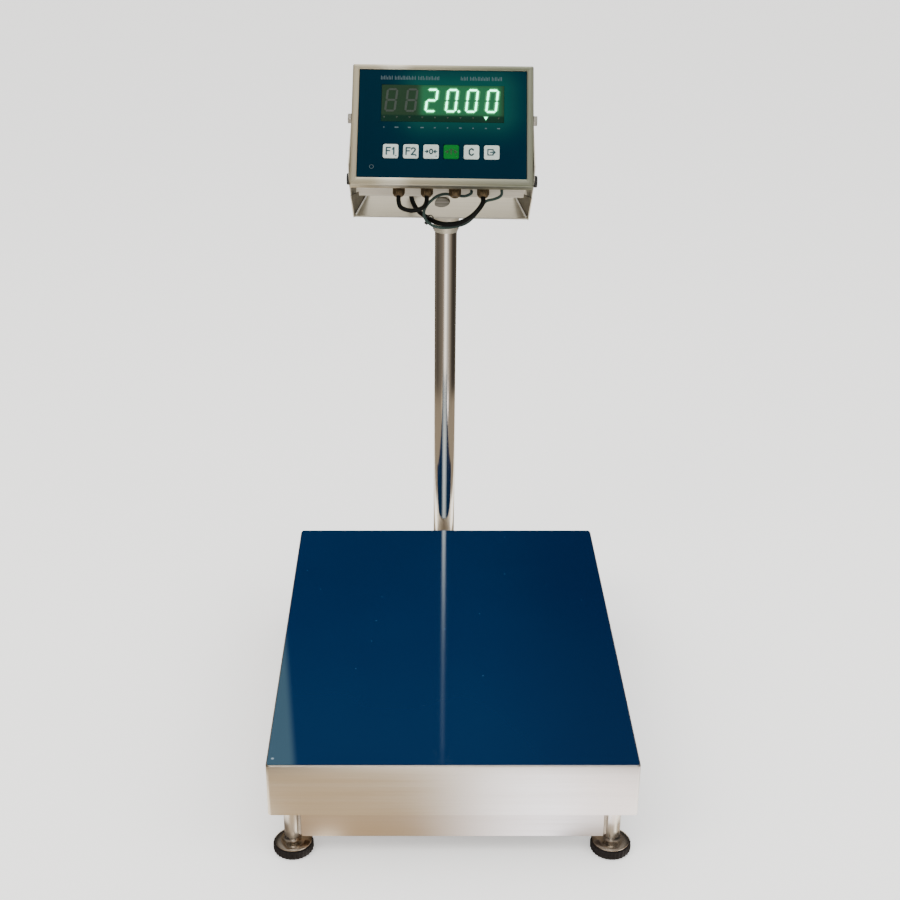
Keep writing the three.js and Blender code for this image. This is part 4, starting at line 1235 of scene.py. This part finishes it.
def column_ramp(n, turn):
    ramp = n.add("ValToRGB", Fac=n.spread(turn, -RAMP_HALF, RAMP_HALF, 0, 1))
    stops = ramp.color_ramp.elements
    stops.remove(stops[1])
    for number, (degrees, value) in enumerate(COLUMN_SHOWS):
        at = (math.radians(degrees) + RAMP_HALF) / (2 * RAMP_HALF)
        stop = stops.new(at) if number else stops[0]
        stop.position = at
        green, blue = (0.84, 0.67) if value < 0.5 else (0.93, 0.85)
        stop.color = (value, value * green, value * blue, 1)
    return ramp.outputs["Color"]


def mirrored_floor(n):
    """What the metal shows of the floor: a dim warm room on the left, a bright one on the right."""
    x, y, _ = n.axes(n.add("NewGeometry").outputs["Position"])
    side = n.size(x)
    tone = n.mixed(n.spread(x, -0.06, 0.12, 0, 1, True), LEFT_TONE, RIGHT_TONE)
    tone = n.mixed(n.spread(x, 0.13, 0.21, 0, 0.8, True), tone, FAR_RIGHT_TONE)
    tone = n.mixed(n.spread(y, -0.36, -0.30, 0, 1, True), tone, NEAR_TONE)
    # Further off lies what the round column shows: a narrow bright streak between dark flanks.
    turn, reach = around(n, x, y, Vector((0, swivel.y, 0)))
    tone = n.mixed(n.spread(reach, 0.80, 0.92, 0, 1, True), tone, column_ramp(n, turn))
    # The rounded corners of the skirt catch a bright edge, and each front leg a bright stripe.
    glint = n.times(n.spread(side, 0.242, 0.256, 0, 0.75, True),
                    n.spread(y, -0.44, -0.40, 0, 1, True))
    glint = n.times(glint, n.spread(side, 0.34, 0.40, 1, 0, True))
    tone = n.mixed(glint, tone, EDGE_TONE)
    for corner in CORNERS[:2]:
        low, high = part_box("leg_tube_" + corner)
        turn, reach = around(n, x, y, (low + high) / 2)
        near = n.spread(reach, 0.060, 0.082, 1, 0, True)
        stripe = n.spread(n.size(n.minus(turn, 0.80)), 0.08, 0.40, 0.95, 0, True)
        shade = n.spread(turn, -0.5, -1.1, 0, 0.85, True)
        tone = n.mixed(near, tone, LEG_TONE)
        tone = n.mixed(n.times(near, shade), tone, LEG_SHADE)
        tone = n.mixed(n.times(near, stripe), tone, LEG_STRIPE)
    return n.add("Emission", Color=tone, Strength=1.12)


def floor():
    """A pale floor, which glossy rays find as a made-up room instead."""
    bpy.ops.mesh.primitive_plane_add(size=60, location=(0, 0, 0))
    plane = bpy.context.object
    plane.name = "floor"
    n = Nodes("floor")
    n.set(Base_Color=n.mixed(n.noise(3), (0.93, 0.93, 0.925), (0.96, 0.96, 0.955)),
          Roughness=0.85, Specular_IOR_Level=0.2, Emission_Color=(1, 1, 1),
          Emission_Strength=0.5)
    n.put(n.tree.nodes["Material Output"].inputs["Surface"],
          n.glossy_split(n.shader, mirrored_floor(n)))
    plane.data.materials.append(n.material)


def surroundings():
    """Even studio light; glossy rays find a dim room with a tall window in front instead."""
    world = bpy.data.worlds.new("studio")
    bpy.context.scene.world = world
    world.use_nodes = True
    n = Nodes(tree=world.node_tree)
    even = n.tree.nodes["Background"]
    n.put(even.inputs["Color"], (1.0, 0.985, 0.96))
    n.put(even.inputs["Strength"], 1.5)
    x, y, z = n.axes(n.add("TexCoord").outputs["Generated"])
    # The window is the streak in the column and in the film under it. It ends at a sill, so
    # that the film stays blue in low views from behind.
    heading = n.math("ARCTAN2", x, n.times(y, -1.0))
    across_window = n.spread(n.size(n.minus(heading, 0.02)), 0.10, 0.52, 1.0, 0.0)
    sill = n.spread(z, 0.34, 0.44, 0.03, 1.0)
    fading = n.times(n.spread(z, 0.53, 0.68, 1.0, 0.45), sill)
    window = n.times(across_window, n.times(n.spread(z, 0.43, 0.53, 12.0, 1.3), fading))
    room = n.add("Background", Color=(1.0, 0.94, 0.84),
                 Strength=n.plus(n.spread(z, 0.50, 0.95, 0.02, 0.50), window))
    n.put(n.tree.nodes["World Output"].inputs["Surface"], n.glossy_split(even, room))


def lights():
    for name, place, aim, size, power, colour in (
        ("key", (-1.6, -1.5, 2.6), 0.3, 1.6, 34, (1.0, 0.95, 0.86)),
        ("fill", (1.9, -1.0, 2.0), 0.3, 1.8, 20, (0.90, 0.95, 1.0)),
        ("top", (0.0, 0.6, 3.2), 0.2, 2.2, 22, (1.0, 0.99, 0.97)),
    ):
        light = bpy.data.lights.new(name, "AREA")
        light.shape = "DISK"
        light.size = size
        light.energy = power
        light.color = colour
        obj = new_object(name, light)
        obj.location = place
        direction = Vector((0, 0, aim)) - Vector(place)
        obj.rotation_euler = direction.to_track_quat("-Z", "Y").to_euler()
        obj.visible_glossy = name == "top"


platform()
feet()
column()
yoke()
indicator()
main_path = cables()
for number, (index, radius) in enumerate(((52, 3.4), (70, 3.4), (118, 5.2)), 1):
    tie(f"cable_tie_{number}", main_path, index, radius, "yoke" if index < 80 else "indicator")
floor()
surroundings()
lights()
